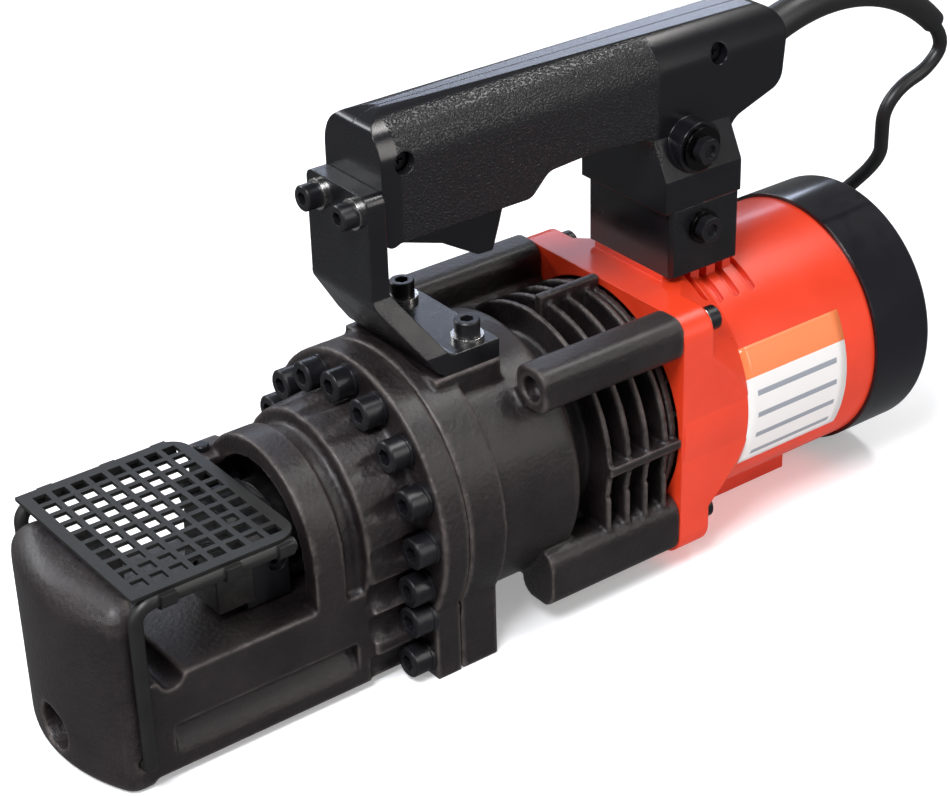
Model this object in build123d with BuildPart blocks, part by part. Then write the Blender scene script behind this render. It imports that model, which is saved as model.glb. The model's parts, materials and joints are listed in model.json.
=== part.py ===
from build123d import *
import math
import os

os.makedirs("parts", exist_ok=True)

# A portable electro-hydraulic cutter for 25 mm reinforcing bar, in millimetres.
# X runs along the tool from the nose to the motor's back, Z is up, and the origin
# is under the middle of the tool, on the surface that it stands on.

# ---------------------------------------------------------------- lengths along X
nose_length = 26.0
throat_length = 93.0
neck_length = 27.0
shoulder_length = 30.0
head_flange_thickness = 15.0
casing_length = 139.5
plate_thickness = 20.5
barrel_length = 116.5
cap_length = 40.5
dome_height = 5.0

total_length = (nose_length + throat_length + neck_length + shoulder_length
                + head_flange_thickness + casing_length + plate_thickness
                + barrel_length + cap_length + dome_height)
x_nose = -total_length / 2
x_throat = x_nose + nose_length
x_neck = x_throat + throat_length
x_shoulder = x_neck + neck_length
x_flange = x_shoulder + shoulder_length
x_joint = x_flange + head_flange_thickness
x_plate = x_joint + casing_length
x_housing = x_plate + plate_thickness
x_cap = x_housing + barrel_length
x_rim = x_cap + cap_length

# ---------------------------------------------------------------- widths and heights
axis_height = 78.0
head_half_width = 50.0
nose_height = 103.0
nose_bulge = 14.0
throat_floor = 57.0
beam_bottom = 4.0
pocket_depth = 7.0
neck_radius = 50.0
valley_radius = 46.0
shoulder_front_radius = 54.0
shoulder_back_radius = 57.0
flange_radius = 75.0
foot_half_width = 65.0
barrel_radius = 69.0
core_radius = 50.0
plate_half_width = 68.5
plate_radius = 13.0
motor_radius = 69.5
cap_radius = 71.5

# ---------------------------------------------------------------- fits
sliding_gap = 0.05        # radial, on everything that runs or slides
thread_gap = 0.05         # radial, between a screw and its tapped hole
hole_gap = 0.4            # radial, round a screw's shank in a plain hole
loose_gap = 0.4           # between faces that pass each other

# ---------------------------------------------------------------- hydraulics
rod_radius = 26.0
cylinder_radius = 34.0
liner_radius = 44.0
stroke = 34.0
piston_thickness = 20.0
spring_length = 60.0
spring_wire = 4.0
oil_space = 4.0
reservoir_radius = 58.0

# ---------------------------------------------------------------- cutters
cutter_width = 28.0
cutter_height = 32.0
cutter_thickness = 24.0
cutter_seat = 4.0
shear_gap = 0.2
jaw_opening = 32.0

# ---------------------------------------------------------------- motor and gears
gear_module = 1.0
pinion_teeth = 10
gear_teeth = 34
gear_width = 10.0
shaft_radius = 4.0
eccentricity = 1.5
shell_wall = 4.0

# ---------------------------------------------------------------- handle and bracket
bracket_thickness = 10.0
bracket_half_width = 37.0
bracket_top_half_width = 25.0
bracket_seat = 148.0
handle_half_width = 23.0
handle_top = 277.0
mount_half_width = 33.0
mount_bottom = 151.0
mount_top = 188.0
trigger_travel = 8.0


def across(x):
    """The plane across the tool at x, seen from the front: its X is Y and its Y is Z."""
    return Plane.YZ.offset(x)


def disc(x, length, radius, inner=0.0, at=(0.0, axis_height), mode=Mode.ADD):
    """A round bar or ring along the tool, starting at x, round the point at = (y, z)."""
    with BuildSketch(across(x)) as outline:
        with Locations(at):
            Circle(radius)
            if inner:
                Circle(inner, mode=Mode.SUBTRACT)
    extrude(outline.sketch, amount=length, mode=mode)


def block(x, y, z, mode=Mode.ADD):
    """A box between the pairs x, y and z."""
    with BuildSketch(Plane.XY.offset(z[0])) as outline:
        with Locations(((x[0] + x[1]) / 2, (y[0] + y[1]) / 2)):
            Rectangle(x[1] - x[0], y[1] - y[0])
    extrude(outline.sketch, amount=z[1] - z[0], mode=mode)


def web(x, x_end, start, end, thickness):
    """A flat rib along the tool from x to x_end. Its section runs from start to end, both (y, z)."""
    across_y, across_z = end[0] - start[0], end[1] - start[1]
    with BuildSketch(across(x)) as outline:
        with Locations(((start[0] + end[0]) / 2, (start[1] + end[1]) / 2)):
            Rectangle(math.hypot(across_y, across_z), thickness,
                      rotation=math.degrees(math.atan2(across_z, across_y)))
    extrude(outline.sketch, amount=x_end - x)


def slab(points, y, corner=0.0, mode=Mode.ADD):
    """A plate with an outline of (x, z) points, between the pair y."""
    with BuildSketch(Plane.XZ.offset(-y[0])) as outline:
        with BuildLine():
            Polyline(*points, close=True)
        make_face()
        if corner:
            fillet(outline.vertices(), corner)
    extrude(outline.sketch, amount=y[0] - y[1], mode=mode)


def cross_pin(x, z, y, radius, inner=0.0, mode=Mode.ADD):
    """A round bar or ring across the tool, between the pair y."""
    with BuildSketch(Plane.XZ.offset(-y[0])) as outline:
        with Locations((x, z)):
            Circle(radius)
            if inner:
                Circle(inner, mode=Mode.SUBTRACT)
    extrude(outline.sketch, amount=y[0] - y[1], mode=mode)


def cap_screws(plane, spots, size, length):
    """Socket-head screws. The heads sit on the plane and stand along its normal."""
    head = size * 0.8
    with BuildPart() as screws:
        with BuildSketch(plane) as heads:
            with Locations(*spots):
                Circle(head)
        extrude(heads.sketch, amount=size)
        rims = [e for e in screws.edges() if abs(plane.to_local_coords(e.center()).Z - size) < 0.01]
        chamfer(rims, size * 0.08)
        with BuildSketch(plane.offset(size)) as sockets:
            with Locations(*spots):
                RegularPolygon(size * 0.45, 6)
        extrude(sockets.sketch, amount=-size * 0.55, mode=Mode.SUBTRACT)
        with BuildSketch(plane) as shanks:
            with Locations(*spots):
                Circle(size / 2)
        extrude(shanks.sketch, amount=-length)
    return screws


def washers(plane, spots, outer, inner, thickness):
    """Flat rings that lie on the plane."""
    with BuildPart() as rings:
        with BuildSketch(plane) as outline:
            with Locations(*spots):
                Circle(outer)
                Circle(inner, mode=Mode.SUBTRACT)
        extrude(outline.sketch, amount=thickness)
    return rings


def ball_bearing(x, width, outer, inner, at):
    """A bearing along the tool, with its two races and its shields as one ring."""
    with BuildPart() as bearing:
        disc(x, width, outer, inner, at)
        disc(x, 0.6, outer - 2.2, inner + 2.0, at, mode=Mode.SUBTRACT)
        disc(x + width - 0.6, 0.6, outer - 2.2, inner + 2.0, at, mode=Mode.SUBTRACT)
    return bearing


def toothed(x, width, teeth, at, turn):
    """A spur gear along the tool. Its teeth are trapezia, and turn is in degrees."""
    pitch_radius = gear_module * teeth / 2
    tip = pitch_radius + gear_module
    root = pitch_radius - 1.25 * gear_module
    half_pitch = math.pi * gear_module / 2
    with BuildSketch(across(x)) as outline:
        with Locations(Location(at)):
            Circle(root)
            with PolarLocations(0, teeth, start_angle=turn):
                Polygon((root - 0.3, half_pitch * 0.62), (pitch_radius, half_pitch * 0.42),
                        (tip, half_pitch * 0.17), (tip, -half_pitch * 0.17),
                        (pitch_radius, -half_pitch * 0.42), (root - 0.3, -half_pitch * 0.62), align=None)
    extrude(outline.sketch, amount=width)


# ================================================================ head
bolt_size = 10.0
bolt_circle = 63.5
bolt_washer = 2.0
bolt_angles = [-22.5 + 22.5 * step for step in range(11)]
flange_bolt_spots = [(bolt_circle * math.cos(math.radians(a)),
                      axis_height + bolt_circle * math.sin(math.radians(a))) for a in bolt_angles]
for side in (-1, 1):
    flange_bolt_spots += [(side * (foot_half_width - 6), axis_height - 42.0),
                          (side * (foot_half_width - 9), 11.0)]
flange_bolt_length = head_flange_thickness + 20.0

recess_radius = head_half_width - 11.0
recess_depth = neck_length - 10.0
guide_length = 14.0
x_guide = x_neck + recess_depth
x_chamber = x_guide + guide_length
wiper_width = 4.0
wiper_radius = rod_radius + 4.0

guard_wire_radius = 3.5
guard_pivot = (x_throat - 4.0, 16.0)
guard_pin_depth = 8.0

stopper_radius = 5.0
stopper_axis = (41.0, 86.0)
arm_y = (31.0, head_half_width)
arm_top = 107.0
arm_reach = 8.5
x_arm = x_neck - arm_reach
arm_screw_spot = (x_arm + arm_reach / 2, stopper_axis[0])
lock_size = 5.0


def flange_outline(x, thickness):
    """The round bolted flange with its flat-sided foot."""
    disc(x, thickness, flange_radius)
    block((x, x + thickness), (-foot_half_width, foot_half_width), (0.0, axis_height / 2))


with BuildPart() as head_frame:
    with BuildSketch(Plane.XY) as nose_plan:
        with BuildLine():
            ThreePointArc((x_nose + nose_bulge, -head_half_width), (x_nose, 0.0),
                          (x_nose + nose_bulge, head_half_width))
            Polyline((x_nose + nose_bulge, head_half_width), (x_throat, head_half_width),
                     (x_throat, -head_half_width), (x_nose + nose_bulge, -head_half_width))
        make_face()
    extrude(nose_plan.sketch, amount=nose_height)
    fillet(head_frame.edges().filter_by(Axis.Z).group_by(Axis.X)[0], 9.0)
    nose_top = head_frame.edges().group_by(Axis.Z)[-1]
    fillet(nose_top.filter_by_position(Axis.X, x_nose - 1, x_throat - 1), 14.0)
    nose_bottom = head_frame.edges().group_by(Axis.Z)[0]
    fillet(nose_bottom.filter_by_position(Axis.X, x_nose - 1, x_throat - 1), 5.0)
    block((x_throat - 1, x_flange), (-head_half_width, head_half_width), (beam_bottom, throat_floor))
    # A long pocket in each flank, with an upright back and a ledge that slopes out of it.
    for side in (-1, 1):
        with BuildSketch(across(x_throat + 12)) as pocket:
            with BuildLine():
                Polyline((side * (head_half_width + 1), 30.0), (side * (head_half_width - pocket_depth), 28.0),
                         (side * (head_half_width - pocket_depth), 24.0),
                         (side * (head_half_width + 1), 12.0), close=True)
            make_face()
        extrude(pocket.sketch, amount=x_shoulder - x_throat - 18, mode=Mode.SUBTRACT)
    cross_pin(x_throat + 13.0, throat_floor, (-head_half_width, head_half_width), 6.5, mode=Mode.SUBTRACT)
    # The ring round the rod's guide, then the cone up to the flange.
    disc(x_neck, recess_depth, neck_radius)
    disc(x_guide, neck_length - recess_depth, valley_radius)
    block((x_neck, x_guide), (-head_half_width, head_half_width), (throat_floor - 1, axis_height))
    block((x_guide, x_shoulder), (-valley_radius, valley_radius), (throat_floor - 1, axis_height))
    with BuildSketch(across(x_shoulder)) as cone_front:
        with Locations((0.0, axis_height)):
            Circle(shoulder_front_radius)
    with BuildSketch(across(x_flange)) as cone_back:
        with Locations((0.0, axis_height)):
            Circle(shoulder_back_radius)
    loft([cone_front.sketch.face(), cone_back.sketch.face()])
    block((x_shoulder + 2, x_flange), (-shoulder_front_radius, shoulder_front_radius), (beam_bottom, axis_height))
    # The arm on the far side that carries the stopper.
    arm_outline = [(x_arm, throat_floor - 1), (x_arm, arm_top), (x_neck + 8, arm_top),
                   (x_neck + 16, arm_top - 6), (x_neck + 16, throat_floor - 1)]
    slab(arm_outline, arm_y)
    fillet(head_frame.edges().filter_by(Axis.Y).filter_by_position(Axis.Z, arm_top - 1, arm_top + 1)
           .filter_by_position(Axis.X, x_arm - 1, x_arm + 1), 3.0)
    flange_outline(x_flange, head_flange_thickness)
    for spot in flange_bolt_spots:
        disc(x_shoulder + 1, shoulder_length - 1, bolt_size * 0.8 + 2.0, at=spot, mode=Mode.SUBTRACT)
        disc(x_flange, head_flange_thickness, bolt_size / 2 + hole_gap, at=spot, mode=Mode.SUBTRACT)
    # The arched recess in the ring, the rod's guide and the bore for the liner.
    with BuildSketch(across(x_arm - 1)) as arch:
        with Locations((0.0, axis_height)):
            Circle(recess_radius)
        with Locations((0.0, (throat_floor + axis_height) / 2)):
            Rectangle(2 * recess_radius, axis_height - throat_floor)
        with Locations((0.0, throat_floor / 2)):
            Rectangle(4 * recess_radius, throat_floor, mode=Mode.SUBTRACT)
    extrude(arch.sketch, amount=x_guide - x_arm + 1, mode=Mode.SUBTRACT)
    disc(x_guide, wiper_width, wiper_radius, mode=Mode.SUBTRACT)
    disc(x_guide, guide_length, rod_radius + sliding_gap, mode=Mode.SUBTRACT)
    disc(x_chamber, x_joint - x_chamber, liner_radius, mode=Mode.SUBTRACT)
    # Seats for the fixed cutter and its screw, and the blind hole in the nose.
    fixed_y = (shear_gap / 2, shear_gap / 2 + cutter_width)
    cutter_z = (axis_height - cutter_height / 2, axis_height + cutter_height / 2)
    fixed_middle = ((fixed_y[0] + fixed_y[1]) / 2, axis_height)
    block((x_throat - cutter_seat, x_throat), fixed_y, cutter_z, mode=Mode.SUBTRACT)
    disc(x_throat - cutter_seat - 12.0, 12.0, 4.0 + thread_gap, at=fixed_middle, mode=Mode.SUBTRACT)
    disc(x_nose, 40.0, 12.0, at=(0.0, 18.0), mode=Mode.SUBTRACT)
    for side in (-1, 1):
        face_y = side * head_half_width
        pin_y = sorted((face_y, face_y - side * (guard_pin_depth + loose_gap)))
        cross_pin(*guard_pivot, pin_y, guard_wire_radius + sliding_gap, mode=Mode.SUBTRACT)
    disc(x_arm, 26.0, stopper_radius + sliding_gap, at=stopper_axis, mode=Mode.SUBTRACT)
    with BuildSketch(Plane.XY.offset(stopper_axis[1])) as lock_hole:
        with Locations(arm_screw_spot):
            Circle(lock_size / 2)
    extrude(lock_hole.sketch, amount=arm_top - stopper_axis[1], mode=Mode.SUBTRACT)

fixed_thickness = cutter_thickness
with BuildPart() as fixed_cutter:
    block((x_throat - cutter_seat, x_throat - cutter_seat + fixed_thickness), fixed_y, cutter_z)
    chamfer(fixed_cutter.edges().group_by(Axis.X)[-1], 0.6)
    disc(x_throat - cutter_seat, fixed_thickness, 4.0 + hole_gap, at=fixed_middle, mode=Mode.SUBTRACT)
    disc(x_throat - cutter_seat + fixed_thickness - 9.0, 9.0, 6.4 + hole_gap, at=fixed_middle, mode=Mode.SUBTRACT)
x_fixed_face = x_throat - cutter_seat + fixed_thickness
fixed_cutter_screw = cap_screws(across(x_fixed_face - 9.0), [fixed_middle], 8.0, fixed_thickness - 9.0 + 10.0)

# ---------------------------------------------------------------- piston side
x_moving_face = x_fixed_face + jaw_opening
moving_y = (-shear_gap / 2 - cutter_width, -shear_gap / 2)
moving_middle = ((moving_y[0] + moving_y[1]) / 2, axis_height)
moving_thickness = cutter_thickness - 4.0
x_holder = x_moving_face + moving_thickness - cutter_seat
holder_length = 24.0
holder_half_width = 28.0
spigot_radius = 18.0
spigot_length = 10.0
x_piston = x_chamber + spring_length
holder_top = axis_height + rod_radius - 2.0
x_set_screw = x_holder + 18.0

with BuildPart() as moving_cutter:
    block((x_moving_face, x_moving_face + moving_thickness), moving_y, cutter_z)
    chamfer(moving_cutter.edges().group_by(Axis.X)[0], 0.6)
    disc(x_moving_face, moving_thickness, 4.0 + hole_gap, at=moving_middle, mode=Mode.SUBTRACT)
    disc(x_moving_face, 9.0, 6.4 + hole_gap, at=moving_middle, mode=Mode.SUBTRACT)
facing_front = Plane(origin=(x_moving_face + 9.0, 0, 0), x_dir=(0, 1, 0), z_dir=(-1, 0, 0))
cutter_screw = cap_screws(facing_front, [(moving_middle[0], -axis_height)], 8.0, moving_thickness)

with BuildPart() as cutter_holder:
    with BuildSketch(across(x_holder)) as holder_outline:
        with Locations((0.0, axis_height)):
            Circle(holder_half_width)
        with Locations((0.0, (throat_floor + axis_height) / 2)):
            Rectangle(2 * holder_half_width, axis_height - throat_floor)
    extrude(holder_outline.sketch, amount=holder_length)
    block((x_holder, x_holder + holder_length), (-holder_half_width, holder_half_width),
          (throat_floor + loose_gap, holder_top), mode=Mode.INTERSECT)
    fillet(cutter_holder.edges().filter_by(Axis.X).group_by(Axis.Z)[0], 1.5)
    block((x_holder, x_holder + cutter_seat), moving_y, cutter_z, mode=Mode.SUBTRACT)
    disc(x_holder + cutter_seat, 10.0, 4.0 + thread_gap, at=moving_middle, mode=Mode.SUBTRACT)
    disc(x_holder + holder_length - spigot_length, spigot_length, spigot_radius, mode=Mode.SUBTRACT)
    cross_pin(x_set_screw, axis_height, (-40.0, -spigot_radius + 2.0), 5.0, mode=Mode.SUBTRACT)

with BuildPart() as moving_cutter_screws:
    add(cutter_screw.part)
    cross_pin(x_set_screw, axis_height, (-26.0, -spigot_radius), 5.0 - thread_gap)
    cross_pin(x_set_screw, axis_height, (-26.0, -22.0), 2.5, mode=Mode.SUBTRACT)

seal_width = 6.0
with BuildPart() as piston:
    disc(x_holder + holder_length - spigot_length, spigot_length, spigot_radius)
    disc(x_holder + holder_length, x_piston - x_holder - holder_length, rod_radius)
    block((x_holder + holder_length, x_guide + stroke + 1), (-rod_radius, rod_radius),
          (axis_height - rod_radius, throat_floor + loose_gap), mode=Mode.SUBTRACT)
    disc(x_piston, piston_thickness, cylinder_radius - sliding_gap)
    disc(x_piston + 7.0, seal_width, cylinder_radius, cylinder_radius - 4.0, mode=Mode.SUBTRACT)
    disc(x_piston + piston_thickness - 8.0, 8.0, 12.0, mode=Mode.SUBTRACT)

with BuildPart() as piston_seal:
    disc(x_piston + 7.0, seal_width, cylinder_radius - sliding_gap / 2, cylinder_radius - 4.0)

with BuildPart() as rod_wiper:
    disc(x_guide, wiper_width, wiper_radius, rod_radius + sliding_gap)

spring_mean_radius = (rod_radius + cylinder_radius) / 2
spring_turns = 5.5
with BuildPart() as return_spring:
    with BuildLine() as spring_line:
        Helix(pitch=(spring_length - spring_wire) / spring_turns, height=spring_length - spring_wire,
              radius=spring_mean_radius, center=(x_chamber + spring_wire / 2, 0, axis_height),
              direction=(1, 0, 0))
    with BuildSketch(Plane(origin=spring_line.line @ 0, z_dir=spring_line.line % 0)):
        Circle(spring_wire / 2)
    sweep(is_frenet=True)

liner_flange = 10.0
x_liner_back = x_piston + piston_thickness + oil_space
with BuildPart() as cylinder_liner:
    disc(x_chamber, x_joint - x_chamber, liner_radius)
    disc(x_joint, liner_flange, reservoir_radius)
    disc(x_joint + liner_flange, x_liner_back - x_joint - liner_flange, liner_radius - 2.0)
    disc(x_chamber, x_liner_back - x_chamber, cylinder_radius, mode=Mode.SUBTRACT)

# ---------------------------------------------------------------- stopper and guard
stopper_knob = 8.0
stopper_travel = 12.0
with BuildPart() as stopper_screw:
    disc(x_arm - loose_gap - stopper_knob, stopper_knob, 8.0, at=stopper_axis)
    fillet(stopper_screw.edges().group_by(Axis.X)[0], 2.0)
    with BuildSketch(across(x_arm - loose_gap - stopper_knob)) as knurls:
        with Locations(stopper_axis):
            with PolarLocations(8.2, 20):
                Circle(0.7)
    extrude(knurls.sketch, amount=stopper_knob, mode=Mode.SUBTRACT)
    disc(x_arm - loose_gap, stopper_travel + 10.0, stopper_radius, at=stopper_axis)

with BuildPart() as stopper_lock_screw:
    with BuildSketch(Plane.XY.offset(arm_top)) as lock_head:
        with Locations(arm_screw_spot):
            Circle(lock_size * 0.8)
    extrude(lock_head.sketch, amount=lock_size * 0.6)
    fillet(stopper_lock_screw.edges().group_by(Axis.Z)[-1], 1.2)
    with BuildSketch(Plane.XY.offset(arm_top)) as lock_shank:
        with Locations(arm_screw_spot):
            Circle(lock_size / 2 - thread_gap)
    extrude(lock_shank.sketch, amount=-(arm_top - stopper_axis[1] - stopper_radius - 1.0))

guard_wire_y = head_half_width + guard_wire_radius + loose_gap
guard_wire_z = nose_height + 1.0
guard_bend = 9.0
x_guard_back = x_neck - 9.0
guard_sheet = 2.0
guard_front = guard_pivot[0] - 1.0
guard_half_width = guard_wire_y + 1.1
guard_holes_along = 8
guard_holes_across = 10
guard_web = 3.0
guard_margin = 3.0

with BuildPart() as guard_wires:
    for side in (-1, 1):
        with BuildLine() as wire_line:
            FilletPolyline((guard_pivot[0], side * (head_half_width - guard_pin_depth), guard_pivot[1]),
                           (guard_pivot[0], side * guard_wire_y, guard_pivot[1]),
                           (guard_pivot[0], side * guard_wire_y, guard_wire_z),
                           (x_guard_back - 4.0, side * guard_wire_y, guard_wire_z),
                           radius=[guard_wire_radius + 0.2, guard_bend])
        with BuildSketch(Plane(origin=wire_line.line @ 0, z_dir=wire_line.line % 0)):
            Circle(guard_wire_radius)
        sweep()

plate_z = guard_wire_z + guard_wire_radius
pitch_along = (x_guard_back - guard_front - 2 * guard_margin - guard_web) / guard_holes_along
pitch_across = (2 * guard_half_width - 2 * guard_margin - guard_web) / guard_holes_across
with BuildPart() as guard_plate:
    with BuildSketch(Plane.XY.offset(plate_z)) as guard_outline:
        with Locations(((guard_front + x_guard_back) / 2, 0.0)):
            Rectangle(x_guard_back - guard_front, 2 * guard_half_width)
        fillet(guard_outline.vertices().group_by(Axis.X)[-1], 12.0)
        with Locations(((guard_front + x_guard_back) / 2, 0.0)):
            with GridLocations(pitch_along, pitch_across, guard_holes_along, guard_holes_across):
                Rectangle(pitch_along - guard_web, pitch_across - guard_web, mode=Mode.SUBTRACT)
    extrude(guard_outline.sketch, amount=guard_sheet)

clip_width = 8.0
clip_sheet = 1.4
clip_stations = [x_throat + 8.0, (x_throat + x_guard_back) / 2, x_guard_back - 14.0]
with BuildPart() as guard_clips:
    for side in (-1, 1):
        for station in clip_stations:
            with BuildSketch(across(station)) as clip_outline:
                with Locations((side * guard_wire_y, guard_wire_z)):
                    Circle(guard_wire_radius + clip_sheet)
                with Locations((side * guard_wire_y, (guard_wire_z + plate_z) / 2)):
                    Rectangle(2 * (guard_wire_radius + clip_sheet), plate_z - guard_wire_z)
                with Locations((side * guard_wire_y, guard_wire_z)):
                    Circle(guard_wire_radius, mode=Mode.SUBTRACT)
                with Locations((side * guard_wire_y, plate_z)):
                    Rectangle(guard_wire_radius, guard_wire_radius, mode=Mode.SUBTRACT)
                with Locations((side * guard_wire_y, plate_z + guard_wire_radius)):
                    Rectangle(6 * guard_wire_radius, 2 * guard_wire_radius, mode=Mode.SUBTRACT)
            extrude(clip_outline.sketch, amount=clip_width)

# ---------------------------------------------------------------- flange hardware
facing_nose = Plane(origin=(x_flange - bolt_washer, 0, 0), x_dir=(0, 1, 0), z_dir=(-1, 0, 0))
washer_plane = Plane(origin=(x_flange, 0, 0), x_dir=(0, 1, 0), z_dir=(-1, 0, 0))
turned_spots = [(y, -z) for y, z in flange_bolt_spots]
flange_bolts = cap_screws(facing_nose, turned_spots, bolt_size, bolt_washer + flange_bolt_length)
flange_washers = washers(washer_plane, turned_spots, bolt_size * 0.85, bolt_size / 2 + 0.2, bolt_washer)

# ================================================================ pump casing
casing_flange_thickness = 22.0
barrel_end = 75.0
x_barrel_end = x_joint + barrel_end
x_casing_flange = x_joint + casing_flange_thickness
fin_radius = 66.0
fin_thickness = 3.0
fin_first = 93.0
fin_pitch = 12.2
fin_count = 4
fin_foot_z = (40.0, 61.0)
rib_front = 93.0
rib_thickness = 5.0
lug_spot = (57.0, axis_height + 59.0)
lug_side = 23.0
lug_corner = 7.5
lug_start = 51.0
low_lug_start = 55.0
low_lug_spot = (55.5, 28.0)
low_lug_size = (25.0, 32.0)
low_screw_spot = (55.0, 24.0)
rear_wall = 4.0
rear_wall_radius = 64.0
pad_half_width = 38.5
pad_length = 48.0
reservoir_start = liner_flange
reservoir_end = 73.0
block_radius = 43.5
housing_screw = 8.0
x_release = x_joint + 35.5
x_oil_plug = x_joint + 59.0
plug_seat = barrel_radius + 1.0

gear_axis = (0.0, axis_height - gear_module * (pinion_teeth + gear_teeth) / 2)
x_gears = x_plate - 34.0
x_eccentric = x_gears - 24.0
x_bearing_plate = x_plate - 18.0
bearing_plate_thickness = 14.0

with BuildPart() as pump_casing:
    flange_outline(x_joint, casing_flange_thickness)
    disc(x_casing_flange, x_barrel_end - x_casing_flange, barrel_radius)
    rounded = pump_casing.edges().filter_by(GeomType.CIRCLE).group_by(Axis.X)[-1]
    fillet(rounded, 6.0)
    disc(x_barrel_end - 1, x_plate - x_barrel_end + 1, core_radius)
    for number in range(fin_count):
        x_fin = x_joint + fin_first + number * fin_pitch
        disc(x_fin, fin_thickness, fin_radius)
        for side in (-1, 1):
            block((x_fin, x_fin + fin_thickness), sorted((side * 38.0, side * (fin_radius - 0.5))), fin_foot_z)
    block((x_joint + rib_front, x_plate), (-plate_half_width + 0.5, plate_half_width - 0.5),
          (axis_height - rib_thickness / 2, axis_height + rib_thickness / 2))
    block((x_joint + rib_front + 8, x_plate), (-rib_thickness / 2, rib_thickness / 2),
          (axis_height, axis_height + plate_half_width + 2.5))
    block((x_barrel_end - 2, x_plate), (-rib_thickness / 2, rib_thickness / 2),
          (axis_height - fin_radius, axis_height))
    disc(x_plate - rear_wall, rear_wall, rear_wall_radius)
    for side in (-1, 1):
        with BuildSketch(across(x_joint + lug_start)) as lug:
            with Locations((side * lug_spot[0], lug_spot[1])):
                RectangleRounded(lug_side, lug_side, lug_corner)
        extrude(lug.sketch, amount=x_plate - x_joint - lug_start)
        with BuildSketch(across(x_joint + low_lug_start)) as low_lug:
            with Locations((side * low_lug_spot[0], low_lug_spot[1])):
                RectangleRounded(*low_lug_size, 9.0)
        extrude(low_lug.sketch, amount=x_plate - x_joint - low_lug_start)
        # A web ties each lug to the core.
        web(x_joint + lug_start + 6, x_plate, (side * 28.0, axis_height + 29.0),
            (side * lug_spot[0], lug_spot[1]), 8.0)
        web(x_joint + low_lug_start + 4, x_plate, (side * 28.0, axis_height - 29.0), (side * 52.0, 34.0), 10.0)
    block((x_joint + 9, x_joint + pad_length), (-pad_half_width, pad_half_width), (axis_height + 40, bracket_seat))
    block((x_joint + 9, x_joint + pad_length + 1), (-pad_half_width, pad_half_width),
          (bracket_seat, bracket_seat + 20), mode=Mode.SUBTRACT)
    # Bores for the liner, the reservoir, the pump and the gears.
    disc(x_joint, liner_flange, reservoir_radius, mode=Mode.SUBTRACT)
    disc(x_joint + reservoir_start, reservoir_end - reservoir_start, reservoir_radius, mode=Mode.SUBTRACT)
    disc(x_joint, x_plate - x_joint, block_radius, mode=Mode.SUBTRACT)
    for y, z in flange_bolt_spots:
        disc(x_joint, 21.0, bolt_size / 2 + thread_gap, at=(y, z), mode=Mode.SUBTRACT)
    for side in (-1, 1):
        for y, z in (lug_spot, low_screw_spot):
            disc(x_plate - 26, 26.0, housing_screw / 2 + thread_gap, at=(side * y, z), mode=Mode.SUBTRACT)
        disc(x_joint + lug_start, 8.0, 6.5, at=(side * lug_spot[0], lug_spot[1]), mode=Mode.SUBTRACT)
    bracket_screw_spots = [(x_joint + 36.5, -27.0), (x_joint + 36.5, 27.0)]
    with BuildSketch(Plane.XY.offset(bracket_seat)) as tapped:
        with Locations(*bracket_screw_spots):
            Circle(4.0 + thread_gap)
    extrude(tapped.sketch, amount=-16.0, mode=Mode.SUBTRACT)

    # Bosses and bores for the oil plug and the release valve, on the far side.
    for station in (x_release, x_oil_plug):
        cross_pin(station, axis_height, (reservoir_radius + 2, plug_seat), 11.0)
    disc(x_joint + reservoir_start, reservoir_end - reservoir_start, reservoir_radius, mode=Mode.SUBTRACT)
    cross_pin(x_release, axis_height, (block_radius, plug_seat), 4.0 + sliding_gap, mode=Mode.SUBTRACT)
    cross_pin(x_oil_plug, axis_height, (block_radius, plug_seat), 7.0 + thread_gap, mode=Mode.SUBTRACT)

with BuildPart() as release_valve:
    cross_pin(x_release, axis_height, (plug_seat + loose_gap, flange_radius - 0.5), 9.5)
    with BuildSketch(Plane.XZ.offset(-plug_seat - loose_gap)) as valve_flutes:
        with Locations((x_release, axis_height)):
            with PolarLocations(10.0, 12):
                Circle(1.3)
    extrude(valve_flutes.sketch, amount=-10.0, mode=Mode.SUBTRACT)
    block((x_release - 8.0, x_release + 8.0), (flange_radius - 2.5, flange_radius),
          (axis_height - 1.0, axis_height + 1.0), mode=Mode.SUBTRACT)
    cross_pin(x_release, axis_height, (reservoir_radius + 0.5, plug_seat + 1.0), 4.0)

with BuildPart() as oil_plug:
    cross_pin(x_oil_plug, axis_height, (plug_seat, flange_radius - 0.5), 10.0)
    chamfer(oil_plug.edges().group_by(Axis.Y)[-1], 0.8)
    cross_pin(x_oil_plug, axis_height, (reservoir_radius + 0.5, plug_seat + 1.0), 7.0)
    with BuildSketch(Plane.XZ.offset(-flange_radius)) as plug_socket:
        with Locations((x_oil_plug, axis_height)):
            RegularPolygon(4.6, 6)
    extrude(plug_socket.sketch, amount=5.0, mode=Mode.SUBTRACT)

bladder_gap = 0.6
with BuildPart() as oil_bladder:
    disc(x_joint + liner_flange + bladder_gap, reservoir_end - liner_flange - 2 * bladder_gap,
         reservoir_radius - bladder_gap, block_radius + bladder_gap)
    fillet(oil_bladder.edges(), 3.0)

# ================================================================ pump and gears
bearing_outer = 9.5
lobe_radius = 7.0
lobe_bearing_radius = 12.0
plunger_radius = 4.0
x_pump_end = x_eccentric + 20.0
x_plunger = x_eccentric + 5.0
plunger_bottom = gear_axis[1] + eccentricity + lobe_bearing_radius + loose_gap
plunger_length = 26.0

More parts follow.
